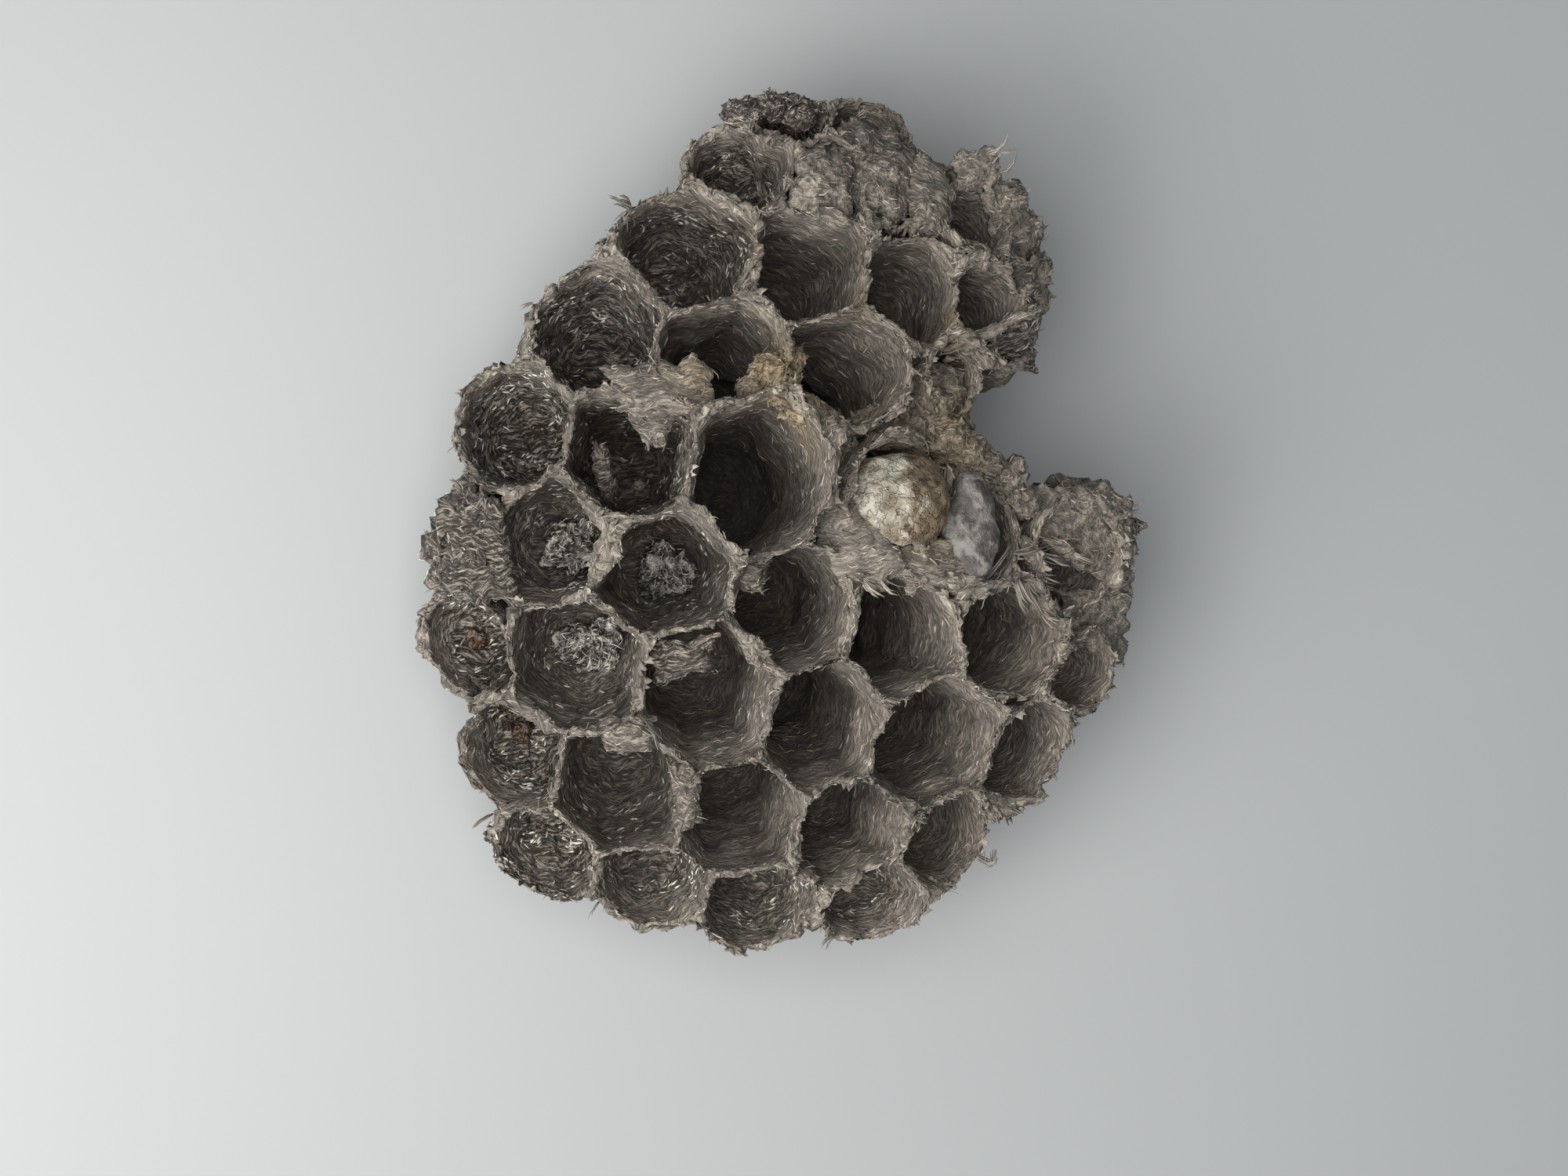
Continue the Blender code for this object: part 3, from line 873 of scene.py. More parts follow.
STRAND_POINTS = 4
STRAND_SINK = 0.012           # how deep a strand's edges lie in the paper
LOOSENESS = 0.7               # how far a loose strand's end stands off, as a share of its length
BEYOND_LOW, BEYOND_HIGH = 0.55, 0.3          # how far past the solids' box a loose strand may reach


def laid_paths(skin, places, headings, lengths, bend):
    """Return strands' paths along a skin from places in headings, and the skin's normals under them."""
    paths, ups = [], []
    for point in range(STRAND_POINTS):
        snapped, facing = np.empty_like(places), np.empty_like(places)
        for index, place in enumerate(places):
            snapped[index], facing[index] = skin.tree.find_nearest(Vector(place))[:2]
        paths.append(snapped - facing * STRAND_SINK)
        ups.append(facing)
        headings = unit(headings - facing * (headings * facing).sum(axis=1)[:, None])
        headings = turned_about(headings, facing, strand_random.normal(0, bend, len(places)))
        places = snapped + headings * (lengths / (STRAND_POINTS - 1))[:, None]
    return np.stack(paths, axis=1), np.stack(ups, axis=1)


def loose_paths(places, normals, headings, lengths):
    """Return the paths of strands that come away from a surface and curl."""
    count = len(places)
    raised = np.column_stack([normals[:, :2], np.abs(normals[:, 2:]) + 0.3])
    away = unit(raised + strand_random.normal(0, 0.5, (count, 3)))
    curl = unit(strand_random.normal(0, 1.0, (count, 3)))
    loose = strand_random.random(count)[:, None] ** 2 * LOOSENESS
    paths = []
    for point in range(STRAND_POINTS):
        share = point / (STRAND_POINTS - 1)
        along = headings * (share - 0.35) + away * loose * share + curl * 0.45 * math.sin(2.6 * share) * share
        paths.append(np.clip(places + along * lengths[:, None], LOW - BEYOND_LOW, HIGH + BEYOND_HIGH))
    return np.stack(paths, axis=1), np.repeat(normals[:, None], STRAND_POINTS, axis=1)


def fibre_object(name, places, faces, marks, tones):
    """Make one object of many like strands or tatters, each with its marks and tone on all of its points."""
    each = len(places) // len(tones)
    data = bpy.data.meshes.new(name)
    data.from_pydata((places * MM).tolist(), [], faces)
    data.shade_smooth()
    add_marks(data, np.repeat(marks, each, axis=0))
    tone = data.attributes.new("tone", "FLOAT", "POINT")
    tone.data.foreach_set("value", np.repeat(tones, each).astype(np.float32))
    return placed(name, data)


def strand_mesh(name, paths, ups, widths, heights, tones, marks):
    """Make one object of thin strands. Paths and ups are (strands, points, 3), the rest is one a strand."""
    count, points = paths.shape[:2]
    heading = unit(np.gradient(paths, axis=1))
    side = unit(np.cross(ups, heading))
    up = np.cross(heading, side)
    taper = np.sin(np.linspace(0.35, math.pi - 0.2, points))[None, :, None]
    half = widths[:, None, None] * taper / 2
    rise = heights[:, None, None] * taper
    rings = np.stack([paths + side * half, paths + up * rise, paths - side * half], axis=2)
    ring = np.arange(count * points * 3).reshape(count, points, 3)
    quads = []
    for corner in range(3):
        after = (corner + 1) % 3
        face = (ring[:, :-1, corner], ring[:, :-1, after], ring[:, 1:, after], ring[:, 1:, corner])
        quads.append(np.stack(face, axis=-1).reshape(-1, 4))
    ends = np.concatenate([ring[:, 0, ::-1], ring[:, -1, :]])
    faces = np.concatenate(quads).tolist() + ends.tolist()
    return fibre_object(name, rings.reshape(-1, 3), faces, marks, tones)


def strand_tone(tree):
    """Return a strand's own tone, a little uneven along it."""
    tone = add(tree, "ShaderNodeAttribute", attribute_name="tone").outputs["Fac"]
    place = add(tree, "ShaderNodeTexCoord").outputs["Object"]
    uneven = noise_node(tree, place, 2.0, 0.6, 5000.0)
    return weighted_sum(tree, (tone, 1.0), (uneven, 0.5), offset=-0.25)


strand_finish = tinted_paper("paper fibres", strand_tone)


def finish_strands(item, finish):
    """Give strands their material and hold them to the nest."""
    item.data.materials.append(finish)
    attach(item, "root")


def round_the_cell(places):
    """Return the way round the nearest cell at each place, and one way over its floor."""
    points = layout_of(places)
    owner = cell_of(points)
    arms = points - middles[owner]
    on_floor = np.linalg.norm(arms, axis=1) < FLOOR_SHARE * girths[owner]
    arms[on_floor] = (0.3, -1.0)
    return unit(np.column_stack([-arms[:, 1], arms[:, 0], np.zeros(len(arms))]))


def tones_of(middle, spread, count):
    """Return strands' tones at random about a middle."""
    return np.clip(strand_random.normal(middle, spread, count), 0.05, 1.1)


LOW, HIGH = (np.array(corner) / MM for corner in cad_box)
comb_triangles = np.array([face.vertices[:3] for face in comb.data.polygons])
comb_skin = make_skin(comb_after, comb_triangles, comb_marks, round_the_cell)
lined_in, deep_in = comb_skin.marks[:, 1], comb_skin.marks[:, 3]
middles_of_triangles = comb_before[comb_triangles].mean(axis=1)
below_rim = rim_level(layout_of(middles_of_triangles)) - middles_of_triangles[:, 2]

WALL_STRANDS = 5200           # in each of the pieces below
WALL_STRAND_PIECES = 4
for piece in range(WALL_STRAND_PIECES):
    weights = np.clip(1.25 - 1.15 * deep_in, 0.12, 1.0) * (1 - 0.65 * lined_in)
    places, normals, grains, marks = pick_places(comb_skin, weights, WALL_STRANDS)
    headings = turned_about(grains, normals, strand_random.normal(0, 0.33, WALL_STRANDS))
    paths, ups = laid_paths(comb_skin, places, headings, strand_random.uniform(0.25, 0.8, WALL_STRANDS), 0.16)
    paths += ups * (strand_random.random((WALL_STRANDS, STRAND_POINTS)) ** 6 * 0.10)[:, :, None]
    widths = strand_random.uniform(0.045, 0.12, WALL_STRANDS)
    heights = strand_random.uniform(0.02, 0.045, WALL_STRANDS)
    tones = tones_of(0.5, 0.33, WALL_STRANDS)
    item = strand_mesh(f"wall_fibres_{piece + 1}", paths, ups, widths, heights, tones, marks)
    finish_strands(item, strand_finish)


def felt_over(name, skin, weights, laid, loose, finish, tone=0.52, size=1.0, order=0.6):
    """Cover a skin with short strands, some loose: a larger order turns them further from the grain."""
    places, normals, grains, marks = pick_places(skin, weights, laid + loose)
    headings = turned_about(grains, normals, strand_random.normal(0, order, laid + loose))
    lengths = strand_random.uniform(0.25, 0.75, laid) * size
    paths, ups = laid_paths(skin, places[:laid], headings[:laid], lengths, 0.22)
    paths += ups * (strand_random.random((laid, STRAND_POINTS)) ** 4 * 0.12)[:, :, None]
    free_lengths = strand_random.gamma(3.0, 0.14, loose)
    free_paths, free_ups = loose_paths(places[laid:], normals[laid:], headings[laid:], free_lengths)
    laid_widths = strand_random.uniform(0.04, 0.11, laid) * size
    widths = np.concatenate([laid_widths, strand_random.uniform(0.03, 0.07, loose)])
    item = strand_mesh(name, np.concatenate([paths, free_paths]), np.concatenate([ups, free_ups]), widths,
                       widths * 0.45, tones_of(tone, 0.27, laid + loose), marks)
    finish_strands(item, finish)


rim_weights = np.where(below_rim < 0.6, 1.0, 0.04)
felt_over("rim_fibres", comb_skin, rim_weights, 4200, 1300, strand_finish)

TATTER_STEPS = 4
TATTER_THICKNESS = 0.05


def sheet_quads(rows, columns):
    """Return the faces of a thin closed sheet whose points are a front grid and then a back grid."""
    front = np.arange(rows * columns).reshape(rows, columns)
    back = front + rows * columns
    top = np.stack([front[:-1, :-1], front[1:, :-1], front[1:, 1:], front[:-1, 1:]], axis=-1).reshape(-1, 4)
    bottom = np.stack([back[:-1, :-1], back[:-1, 1:], back[1:, 1:], back[1:, :-1]], axis=-1).reshape(-1, 4)
    rim = np.concatenate([front[:, 0], front[-1, 1:], front[-2::-1, -1], front[0, -2:0:-1]])
    after = np.roll(rim, -1)
    edge = np.stack([rim, rim + rows * columns, after + rows * columns, after], axis=-1)
    return np.concatenate([top, bottom, edge])


def tatters(name, skin, weights, count, longest):
    """Stand small torn tongues of paper on a skin, rooted along the grain, as one object."""
    roots, normals, grains, marks = pick_places(skin, weights, count)
    steps = np.linspace(0, 1, TATTER_STEPS)
    rise, across = np.meshgrid(steps, steps - 0.5, indexing="ij")
    widths = strand_random.uniform(0.2, 0.75, count)[:, None, None]
    lengths = strand_random.uniform(0.15, longest, count)[:, None, None]
    out = unit(normals * 0.5 + np.array((0, 0, 0.9)) + strand_random.normal(0, 0.45, (count, 3)))
    facing = unit(np.cross(grains, out))
    torn = rise * strand_random.uniform(0.35, 1.2, (count, 1, TATTER_STEPS))
    curl = strand_random.uniform(-0.6, 0.6, count)[:, None, None]
    wide = across * (1 - 0.4 * rise ** 2) * widths
    front = (roots - out * 0.12)[:, None, None] + grains[:, None, None] * wide[..., None] \
        + out[:, None, None] * (torn * lengths)[..., None] \
        + facing[:, None, None] * (torn ** 2 * curl * lengths)[..., None]
    back = front - facing[:, None, None] * TATTER_THICKNESS
    each = 2 * TATTER_STEPS ** 2
    places = np.stack([front, back], axis=1).reshape(count, each, 3)
    places = np.clip(places, LOW, HIGH)
    quads = sheet_quads(TATTER_STEPS, TATTER_STEPS)[None] + each * np.arange(count)[:, None, None]
    marks[:, 0] = np.maximum(marks[:, 0], 0.4)
    tones = tones_of(0.38, 0.2, count)
    return fibre_object(name, places.reshape(-1, 3), quads.reshape(-1, 4).tolist(), marks, tones)


rim_points = layout_of(middles_of_triangles)
rim_gaps = np.linalg.norm(rim_points[:, None] - middles[None], axis=2) / girths[None]
outermost = smooth(0.9, 1.0, rim_gaps.min(axis=1)) * (np.sort(rim_gaps, axis=1)[:, 1] > 1.25)
ragged = np.where(below_rim < 0.35, 0.25 + 1.5 * outermost, 0.0) + 0.06 * outermost * (below_rim < 3.0)
rim_tatters = tatters("rim_tatters", comb_skin, ragged, 1300, 0.5)
finish_strands(rim_tatters, strand_finish)


# ---------------------------------------------------------------------------------------------------------
# The crumbled pulp.
# Where the comb broke, its paper has crumbled to lumps of pulp, grey, brown or stained yellow. They are part
# of the comb and hold to its broken walls.
# ---------------------------------------------------------------------------------------------------------
PULP = (  # middle and half sizes of each lump
    # the yellow-stained ones below the tall cell's far rim
    ((-1.0, 10.4, 15.4), (1.0, 0.9, 1.1)), ((0.1, 11.0, 15.3), (0.7, 0.7, 0.9)),
    ((-0.4, 9.6, 15.8), (0.9, 0.9, 0.9)), ((0.5, 8.7, 15.7), (1.0, 0.8, 1.0)),
    ((1.7, 7.9, 15.4), (0.9, 0.9, 1.0)), ((2.5, 7.1, 15.0), (0.9, 0.8, 1.0)),
    ((-1.9, 9.6, 15.4), (0.7, 0.7, 0.8)),
    # the bank behind the silk lids
    ((4.9, 7.7, 13.5), (1.5, 1.0, 1.3)), ((6.5, 7.9, 13.3), (1.4, 0.9, 1.2)),
    ((8.1, 7.3, 12.7), (1.5, 1.1, 1.5)), ((9.5, 6.4, 12.3), (1.3, 1.1, 1.5)),
    ((7.3, 8.9, 12.8), (1.2, 1.0, 1.5)), ((10.5, 5.8, 12.4), (1.0, 0.8, 1.4)),
    ((8.3, 6.2, 11.8), (0.9, 0.8, 1.7)),
    # the ridge along the notch
    ((11.4, 5.2, 12.7), (0.9, 0.8, 1.3)), ((12.1, 4.1, 12.9), (0.8, 0.8, 1.2)),
    ((12.0, 5.9, 12.6), (0.4, 0.5, 1.4)),
    # the right corner
    ((11.9, 19.2, 10.3), (1.1, 1.1, 1.5)), ((13.0, 17.5, 9.8), (1.0, 1.2, 1.5)),
    ((13.7, 15.7, 9.4), (0.9, 1.1, 1.5)), ((12.6, 14.9, 10.2), (0.9, 0.9, 1.3)),
    ((13.8, 14.3, 9.3), (0.7, 0.8, 1.2)),
    # the dark lumps at the top
    ((-1.2, 23.3, 10.0), (1.1, 0.8, 1.0)), ((0.2, 23.6, 9.9), (1.1, 0.7, 1.0)),
    ((1.5, 23.3, 10.1), (0.9, 0.8, 1.0)),
)


def granular_tone(tree):
    """Draw crumbs of pulp on the object's own coordinates, use them as bump, and return their tone."""
    place = add(tree, "ShaderNodeTexCoord").outputs["Object"]
    crumbs = noise_node(tree, place, 3.0, 0.65, 1700.0)
    flecks = noise_node(tree, place, 2.0, 0.6, 5000.0)
    both = weighted_sum(tree, (crumbs, 1.0), (flecks, 0.6))
    tone = math_node(tree, "MULTIPLY", step_node(tree, both, 0.50, 1.16), 0.9)
    bumped(tree, both, 0.00028)
    return tone


PULP_PALENESS = 0.3
SILKY_FROM = (22.3, 23.2)     # along Y: the lumps at the top are dark and silky
lumps = bpy.data.collections.new("lumps")
bpy.context.scene.collection.children.link(lumps)
for place, half_sizes in PULP:
    pulp_lump("lump", place, half_sizes, 0, lumps)
pulp = first_of("crumbled_pulp", lumps)
boolean_all(pulp, "UNION", lumps)
pulp.data.shade_smooth()
pulp_places = np.minimum(mesh_places(pulp), HIGH)
pulp.data.vertices.foreach_set("co", (pulp_places * MM).ravel())
pulp_marks = marks_at(pulp_places)
pulp_marks[:, 0] = PULP_PALENESS
pulp_marks[:, 1] = 0.95 * smooth(*SILKY_FROM, pulp_places[:, 1])
pulp_marks[:, 3] = 0.0
add_marks(pulp.data, pulp_marks)
granular_paper = tinted_paper("crumbled pulp", granular_tone)
pulp.data.materials.clear()
pulp.data.materials.append(granular_paper)
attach(pulp, "root")
sink = bmesh.new()
sink.from_mesh(pulp.data)
bmesh.ops.triangulate(sink, faces=sink.faces)
pulp_triangles = np.array([[corner.index for corner in face.verts] for face in sink.faces])
sink.free()
pulp_skin = make_skin(pulp_places, pulp_triangles, pulp_marks, round_the_cell)
felt_over("pulp_fibres", pulp_skin, np.ones(len(pulp_triangles)), 1700, 260, strand_finish,
          tone=0.40, size=1.2, order=0.8)
upward = np.clip(pulp_skin.normals[:, 2], 0.15, 1.0)
pulp_tatters = tatters("pulp_tatters", pulp_skin, upward, 560, 0.5)
finish_strands(pulp_tatters, strand_finish)


# ---------------------------------------------------------------------------------------------------------
# The torn sheets and flaps.
# Paper that tore when the nest was pulled away: walls folded flat, caps of felt and curled edges. They are
# part of the comb, and each still hangs on it by one side.
# ---------------------------------------------------------------------------------------------------------
FLAPS = {  # bulge, paleness, how silky, four corners
    "right_sheet": (
        0.35, 0.35, 0.0, ((11.8, 5.2, 13.7), (19.0, 5.2, 11.2), (19.2, -1.1, 10.4), (13.5, 1.3, 13.0))),
    "right_lower_sheet": (
        0.3, 0.3, 0.0, ((13.9, 0.0, 12.6), (19.1, -0.1, 10.6), (19.2, -4.7, 8.6), (14.8, -3.2, 11.9))),
    "torn_tongue": (
        0.2, 0.9, 0.0, ((11.4, 2.2, 14.0), (12.3, 2.4, 14.1), (13.6, 0.7, 13.6), (12.8, 0.3, 13.4))),
    "torn_tongue_tip": (
        0.2, 0.6, 0.0, ((13.0, 2.2, 13.9), (13.8, 2.4, 13.8), (15.4, 1.5, 13.2), (14.8, 1.0, 13.2))),
    "top_flap": (
        0.45, 0.0, 0.0, ((0.7, 21.9, 13.2), (4.1, 21.7, 12.8), (3.7, 17.2, 14.1), (0.1, 18.4, 14.0))),
    "top_sheet": (
        0.7, 0.0, 0.25, ((2.8, 24.2, 11.4), (7.6, 21.6, 12.1), (6.8, 17.6, 13.2), (3.6, 17.2, 13.9))),
    "top_right_sheet": (
        0.4, 0.1, 0.1, ((6.8, 21.9, 12.3), (9.2, 20.1, 12.8), (8.3, 17.0, 13.3), (5.9, 17.0, 13.6))),
    "white_bits": (
        0.3, 0.7, 0.0, ((8.8, 21.6, 12.1), (11.8, 22.1, 10.9), (11.7, 19.7, 11.6), (9.0, 19.4, 12.7))),
    "border_sheet": (
        0.3, 0.3, 0.0, ((10.2, 19.8, 12.0), (12.3, 20.0, 11.4), (14.2, 16.3, 10.4), (12.1, 15.7, 11.2))),
    "felt_corner": (
        0.25, 0.25, 0.0, ((-9.4, 10.9, 14.9), (-4.4, 11.3, 16.1), (-3.0, 8.0, 16.9), (-8.5, 8.6, 15.9))),
    "torn_tip": (
        0.15, 0.25, 0.2, ((-8.8, 9.8, 15.8), (-4.9, 9.6, 16.4), (-6.2, 6.6, 15.4), (-7.0, 6.7, 15.4))),
    "curled_leaf": (
        0.6, 0.35, 0.3, ((-3.2, 1.7, 16.3), (-0.8, 2.1, 16.6), (-1.4, -0.4, 15.9), (-3.0, 0.0, 16.0))),
    "shoulder_sheet": (
        0.35, 0.75, 0.0, ((0.2, 4.2, 17.3), (3.3, 4.7, 16.8), (7.2, 0.3, 15.9), (2.5, -0.5, 16.3))),
    "cap_collar": (
        0.3, 0.5, 0.0, ((3.9, 2.5, 16.0), (8.3, 2.5, 15.6), (10.5, -0.6, 15.0), (5.8, -0.5, 15.7))),
    # notch_wedge is fully silky, so dark: partly dark silk, partly painted shade below the notch's pale edge
    "notch_wedge": (
        0.2, 0.0, 1.0, ((7.7, 11.6, 14.1), (13.6, 13.9, 12.7), (14.3, 10.2, 9.8), (8.3, 9.7, 11.6))),
    "notch_edge": (
        0.1, 1.0, 0.0, ((7.6, 11.5, 14.6), (13.6, 14.1, 13.2), (13.6, 13.6, 13.1), (7.7, 11.0, 14.5))),
    "notch_scrap": (
        0.6, 0.2, 0.0, ((6.9, 11.3, 13.2), (9.6, 10.8, 12.6), (10.3, 7.8, 11.9), (7.0, 8.4, 13.2))),
    "crushed_wall": (
        0.35, 0.2, 0.95, ((-15.9, 5.1, 11.4), (-13.7, 4.8, 12.3), (-12.3, -1.4, 12.9), (-17.1, -0.8, 10.5))),
    "shard": (
        0.1, 0.2, 0.6, ((-9.4, 6.7, 13.6), (-8.6, 7.0, 13.6), (-7.6, 4.4, 11.8), (-8.5, 4.0, 11.6))),
    "silky_ledge": (
        0.4, 0.3, 0.9, ((-6.9, -2.5, 14.6), (-3.3, -2.3, 15.0), (-3.3, -4.2, 14.2), (-6.7, -5.0, 13.9))),
    "pulpy_ledge": (
        0.5, 0.35, 0.2, ((-9.2, -6.3, 13.4), (-6.3, -6.3, 14.2), (-6.3, -8.3, 13.4), (-8.9, -8.2, 12.6))),
    "wide_rim": (
        0.35, 0.2, 0.2, ((-5.9, -8.2, 13.9), (-4.5, -8.3, 14.5), (-3.9, -11.7, 14.0), (-5.5, -12.0, 13.3))),
}
CRUMBLED_FLAPS = ("right_sheet", "right_lower_sheet", "notch_scrap", "border_sheet", "top_flap", "top_sheet",
                  "white_bits")
FLAP_STEPS = (36, 28)
FLAP_THICKNESS = 0.12
FLAP_DROOP = 0.35             # how far a flap's edge turns down
FLAP_STRANDS = 7              # for each square millimetre
RAGGED = 0.24                 # how far a flap's edges wander, as a share of its width


def torn(along, across, seed, shift):
    """Return the share of its width that a torn flap keeps at a place along its edge."""
    waves = noise.noise((along * 2.7, seed, across)) + 0.3 * noise.noise((along * 7.0, seed, across + shift))
    return 1 - RAGGED * (0.5 + waves)


def flap_sides(corners, bulge, seed):
    """Return a flap's upper and lower points as grids."""
    across, down = FLAP_STEPS
    first, second = np.meshgrid(np.linspace(-1, 1, across), np.linspace(-1, 1, down), indexing="ij")
    upper = np.empty((across, down, 3))
    one, two, three, four = (Vector(corner) for corner in corners)
    facing = (two - one).cross(four - one).normalized()
    facing = facing if facing.z > 0 else -facing
    for i in range(across):
        for j in range(down):
            u, v = first[i, j], second[i, j]
            s = (u * torn(v, u, seed, 2) + 1) / 2
            t = (v * torn(u, v, seed, 4) + 1) / 2
            place = one.lerp(two, s).lerp(four.lerp(three, s), t)
            crown = bulge * ((1 - u * u) * (1 - v * v) - 0.25)
            place += facing * (crown - FLAP_DROOP * max(abs(u), abs(v)) ** 6)
            place += noise.noise_vector(place * 0.9 + Vector((seed, 0, 0))) * 0.26
            place += noise.noise_vector(place * 2.8) * 0.07
            place += facing * noise.noise((s * 3.0, t * 6.0, seed)) * 0.14
            upper[i, j] = place
    return np.clip(upper, LOW, HIGH), np.array(facing)


def flap_object(name, corners, bulge, seed):
    """Make one flap as a thin closed sheet."""
    upper, facing = flap_sides(corners, bulge, seed)
    lower = upper - facing * FLAP_THICKNESS
    across, down = FLAP_STEPS
    places = np.concatenate([upper.reshape(-1, 3), lower.reshape(-1, 3)])
    quads = sheet_quads(across, down)
    triangles = np.concatenate([quads[:, [0, 1, 2]], quads[:, [0, 2, 3]]])
    data = bpy.data.meshes.new(name)
    data.from_pydata((places * MM).tolist(), [], triangles.tolist())
    sink = bmesh.new()
    sink.from_mesh(data)
    bmesh.ops.recalc_face_normals(sink, faces=sink.faces)
    sink.to_mesh(data)
    sink.free()
    data.shade_smooth()
    add_flap_grain(data, corners, seed)
    triangles = np.array([face.vertices[:3] for face in data.polygons])
    return placed(name, data), places, triangles


def add_flap_grain(mesh, corners, shift):
    """Give a flap the same map in millimetres as the comb has, with the fibres along its first edge."""
    one, two, three, four = (np.array(corner) for corner in corners)
    length = np.linalg.norm(two + three - one - four) / 2
    width = np.linalg.norm(four + three - one - two) / 2
    along, across = np.meshgrid(np.linspace(0, length, FLAP_STEPS[0]), np.linspace(0, width, FLAP_STEPS[1]),
                                indexing="ij")
    side = np.column_stack([along.ravel() + shift, across.ravel()])
    ends = np.empty(len(mesh.loops), int)
    mesh.loops.foreach_get("vertex_index", ends)
    grain = mesh.uv_layers.new(name="grain")
    grain.data.foreach_set("uv", np.concatenate([side, side])[ends].astype(np.float32).ravel())


skins = [comb_skin]
for seed, (name, (bulge, paleness, silky, corners)) in enumerate(FLAPS.items()):
    item, places, triangles = flap_object(name, corners, bulge, seed * 7.3)
    marks = marks_at(places)
    marks[:, [0, 1, 3]] = paleness, silky, 0.0
    add_marks(item.data, marks)
    item.data.materials.append(granular_paper if name in CRUMBLED_FLAPS else comb_finish)
    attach(item, "root")
    along = unit(np.array(corners[1]) - np.array(corners[0]))
    skin = make_skin(places, triangles, marks, lambda places, along=along: np.tile(along, (len(places), 1)))
    skins.append(skin)
    laid = int(FLAP_STRANDS * skin.areas.sum() * (0.7 if name in CRUMBLED_FLAPS else 1.0 - 0.6 * silky))
    felt_over(f"{name}_fibres", skin, np.ones(len(triangles)), laid, laid // 8, strand_finish,
              tone=0.45, size=1.2, order=0.3)


# ---------------------------------------------------------------------------------------------------------
# The frayed strips and stray ends.
# Single strips of pulp that came loose where the paper tore: cream ones at the right, and thin hairs and
# spikes that stick out of the edge.
# ---------------------------------------------------------------------------------------------------------
STRIPS = (  # start, end, width, tone, how far it bows
    ((12.6, 0.9, 13.7), (13.9, 0.2, 13.5), 0.40, 0.75, 0.15),
    ((13.0, 1.6, 13.7), (14.3, 1.0, 13.5), 0.36, 0.7, 0.12),
    ((14.6, 1.6, 13.5), (15.7, 1.1, 13.2), 0.30, 0.65, 0.1),
    ((11.3, 0.6, 14.4), (12.3, -1.3, 13.9), 0.40, 0.55, 0.1),
    ((12.0, 0.4, 14.1), (13.2, -1.6, 13.6), 0.34, 0.55, 0.1),
    ((13.2, -1.4, 13.8), (14.3, -2.0, 13.3), 0.36, 0.7, 0.15),
    ((9.6, 0.0, 14.6), (11.3, 1.8, 14.4), 0.30, 0.5, 0.1),
    ((11.3, 1.8, 14.4), (13.6, 2.2, 14.0), 0.28, 0.5, 0.1),
    ((3.4, 0.5, 16.2), (4.2, -0.2, 16.0), 0.36, 0.75, 0.1),
    ((4.3, 0.4, 16.1), (5.3, -0.2, 15.9), 0.30, 0.75, 0.1),
    ((-1.3, 1.5, 16.4), (-0.6, 2.4, 17.0), 0.16, 0.7, 0.1),
    ((-7.0, 19.1, 13.0), (-7.9, 19.5, 13.6), 0.40, 0.3, 0.1),
    ((18.2, 3.9, 11.3), (18.9, 4.4, 11.9), 0.10, 0.5, 0.2),
    ((17.6, 3.9, 11.6), (18.8, 3.6, 11.6), 0.08, 0.5, 0.15),
    ((-15.6, 3.6, 11.3), (-16.5, 4.0, 11.6), 0.30, 0.5, 0.1),
    ((-15.4, 4.6, 11.4), (-16.0, 5.3, 11.9), 0.26, 0.5, 0.15),
    ((-16.6, 0.1, 10.8), (-17.4, -0.1, 11.2), 0.28, 0.5, 0.05),
    ((-13.7, -11.3, 9.0), (-14.6, -11.9, 9.3), 0.26, 0.3, 0.1),
    ((-12.0, 14.0, 12.4), (-12.7, 13.7, 12.7), 0.12, 0.5, 0.05),
    ((-8.4, -15.7, 9.5), (-8.9, -16.4, 9.6), 0.16, 0.4, 0.1),
    ((10.6, 21.3, 12.0), (11.5, 22.1, 12.8), 0.20, 0.8, 0.2),
    ((10.9, 20.9, 12.0), (12.0, 21.5, 12.4), 0.16, 0.7, -0.2),
    ((11.3, 20.4, 11.8), (12.2, 21.6, 12.3), 0.16, 0.6, 0.25),
    ((13.6, 17.5, 10.5), (14.4, 17.3, 10.7), 0.14, 0.5, 0.1),
    ((13.6, 14.8, 10.0), (14.9, 14.6, 10.3), 0.12, 0.5, 0.15),
    ((13.8, 13.9, 9.6), (15.0, 13.5, 9.9), 0.12, 0.5, 0.15),
    ((10.5, -13.9, 10.3), (11.4, -13.5, 11.0), 0.34, 0.4, 0.45),
    ((3.6, -18.0, 10.0), (3.0, -18.6, 10.2), 0.20, 0.4, 0.1),
    ((4.4, 24.0, 10.8), (4.8, 24.4, 11.4), 0.18, 0.5, 0.1),
    ((2.9, 23.9, 11.0), (2.8, 24.4, 11.6), 0.16, 0.5, 0.1),
)
STRIP_FIBRES = 7
LOOSE_ROOT = 0.25             # a strip that starts further off the paper than this is moved onto it


def strip_paths():
    """Return the paths of the fibres in all strips: they start together, bow, and spread towards the end."""
    paths = []
    for start, end, width, tone, bow in STRIPS:
        start, end = Vector(start), Vector(end)
        roots = [skin.tree.find_nearest(start)[0] for skin in skins]
        root = min(roots, key=lambda place: (place - start).length)
        if (root - start).length > LOOSE_ROOT:
            start, end = root, end + root - start
        aside = (end - start).cross(Vector((0, 0, 1))).normalized()
        for fibre in range(STRIP_FIBRES):
            offset = Vector(strand_random.normal(0, 0.32, 3)) * width
            stop = end + offset * 1.5 + (start - end) * strand_random.uniform(-0.1, 0.45)
            path = []
            for point in range(STRAND_POINTS):
                share = point / (STRAND_POINTS - 1)
                bowed = (aside + Vector((0, 0, 0.6))) * bow * math.sin(math.pi * share)
                place = (start + offset * 0.7).lerp(stop, share) + bowed
                path.append(place + noise.noise_vector(place * 1.6) * 0.12)
            paths.append(path)
    return np.clip(np.array(paths), LOW, HIGH)


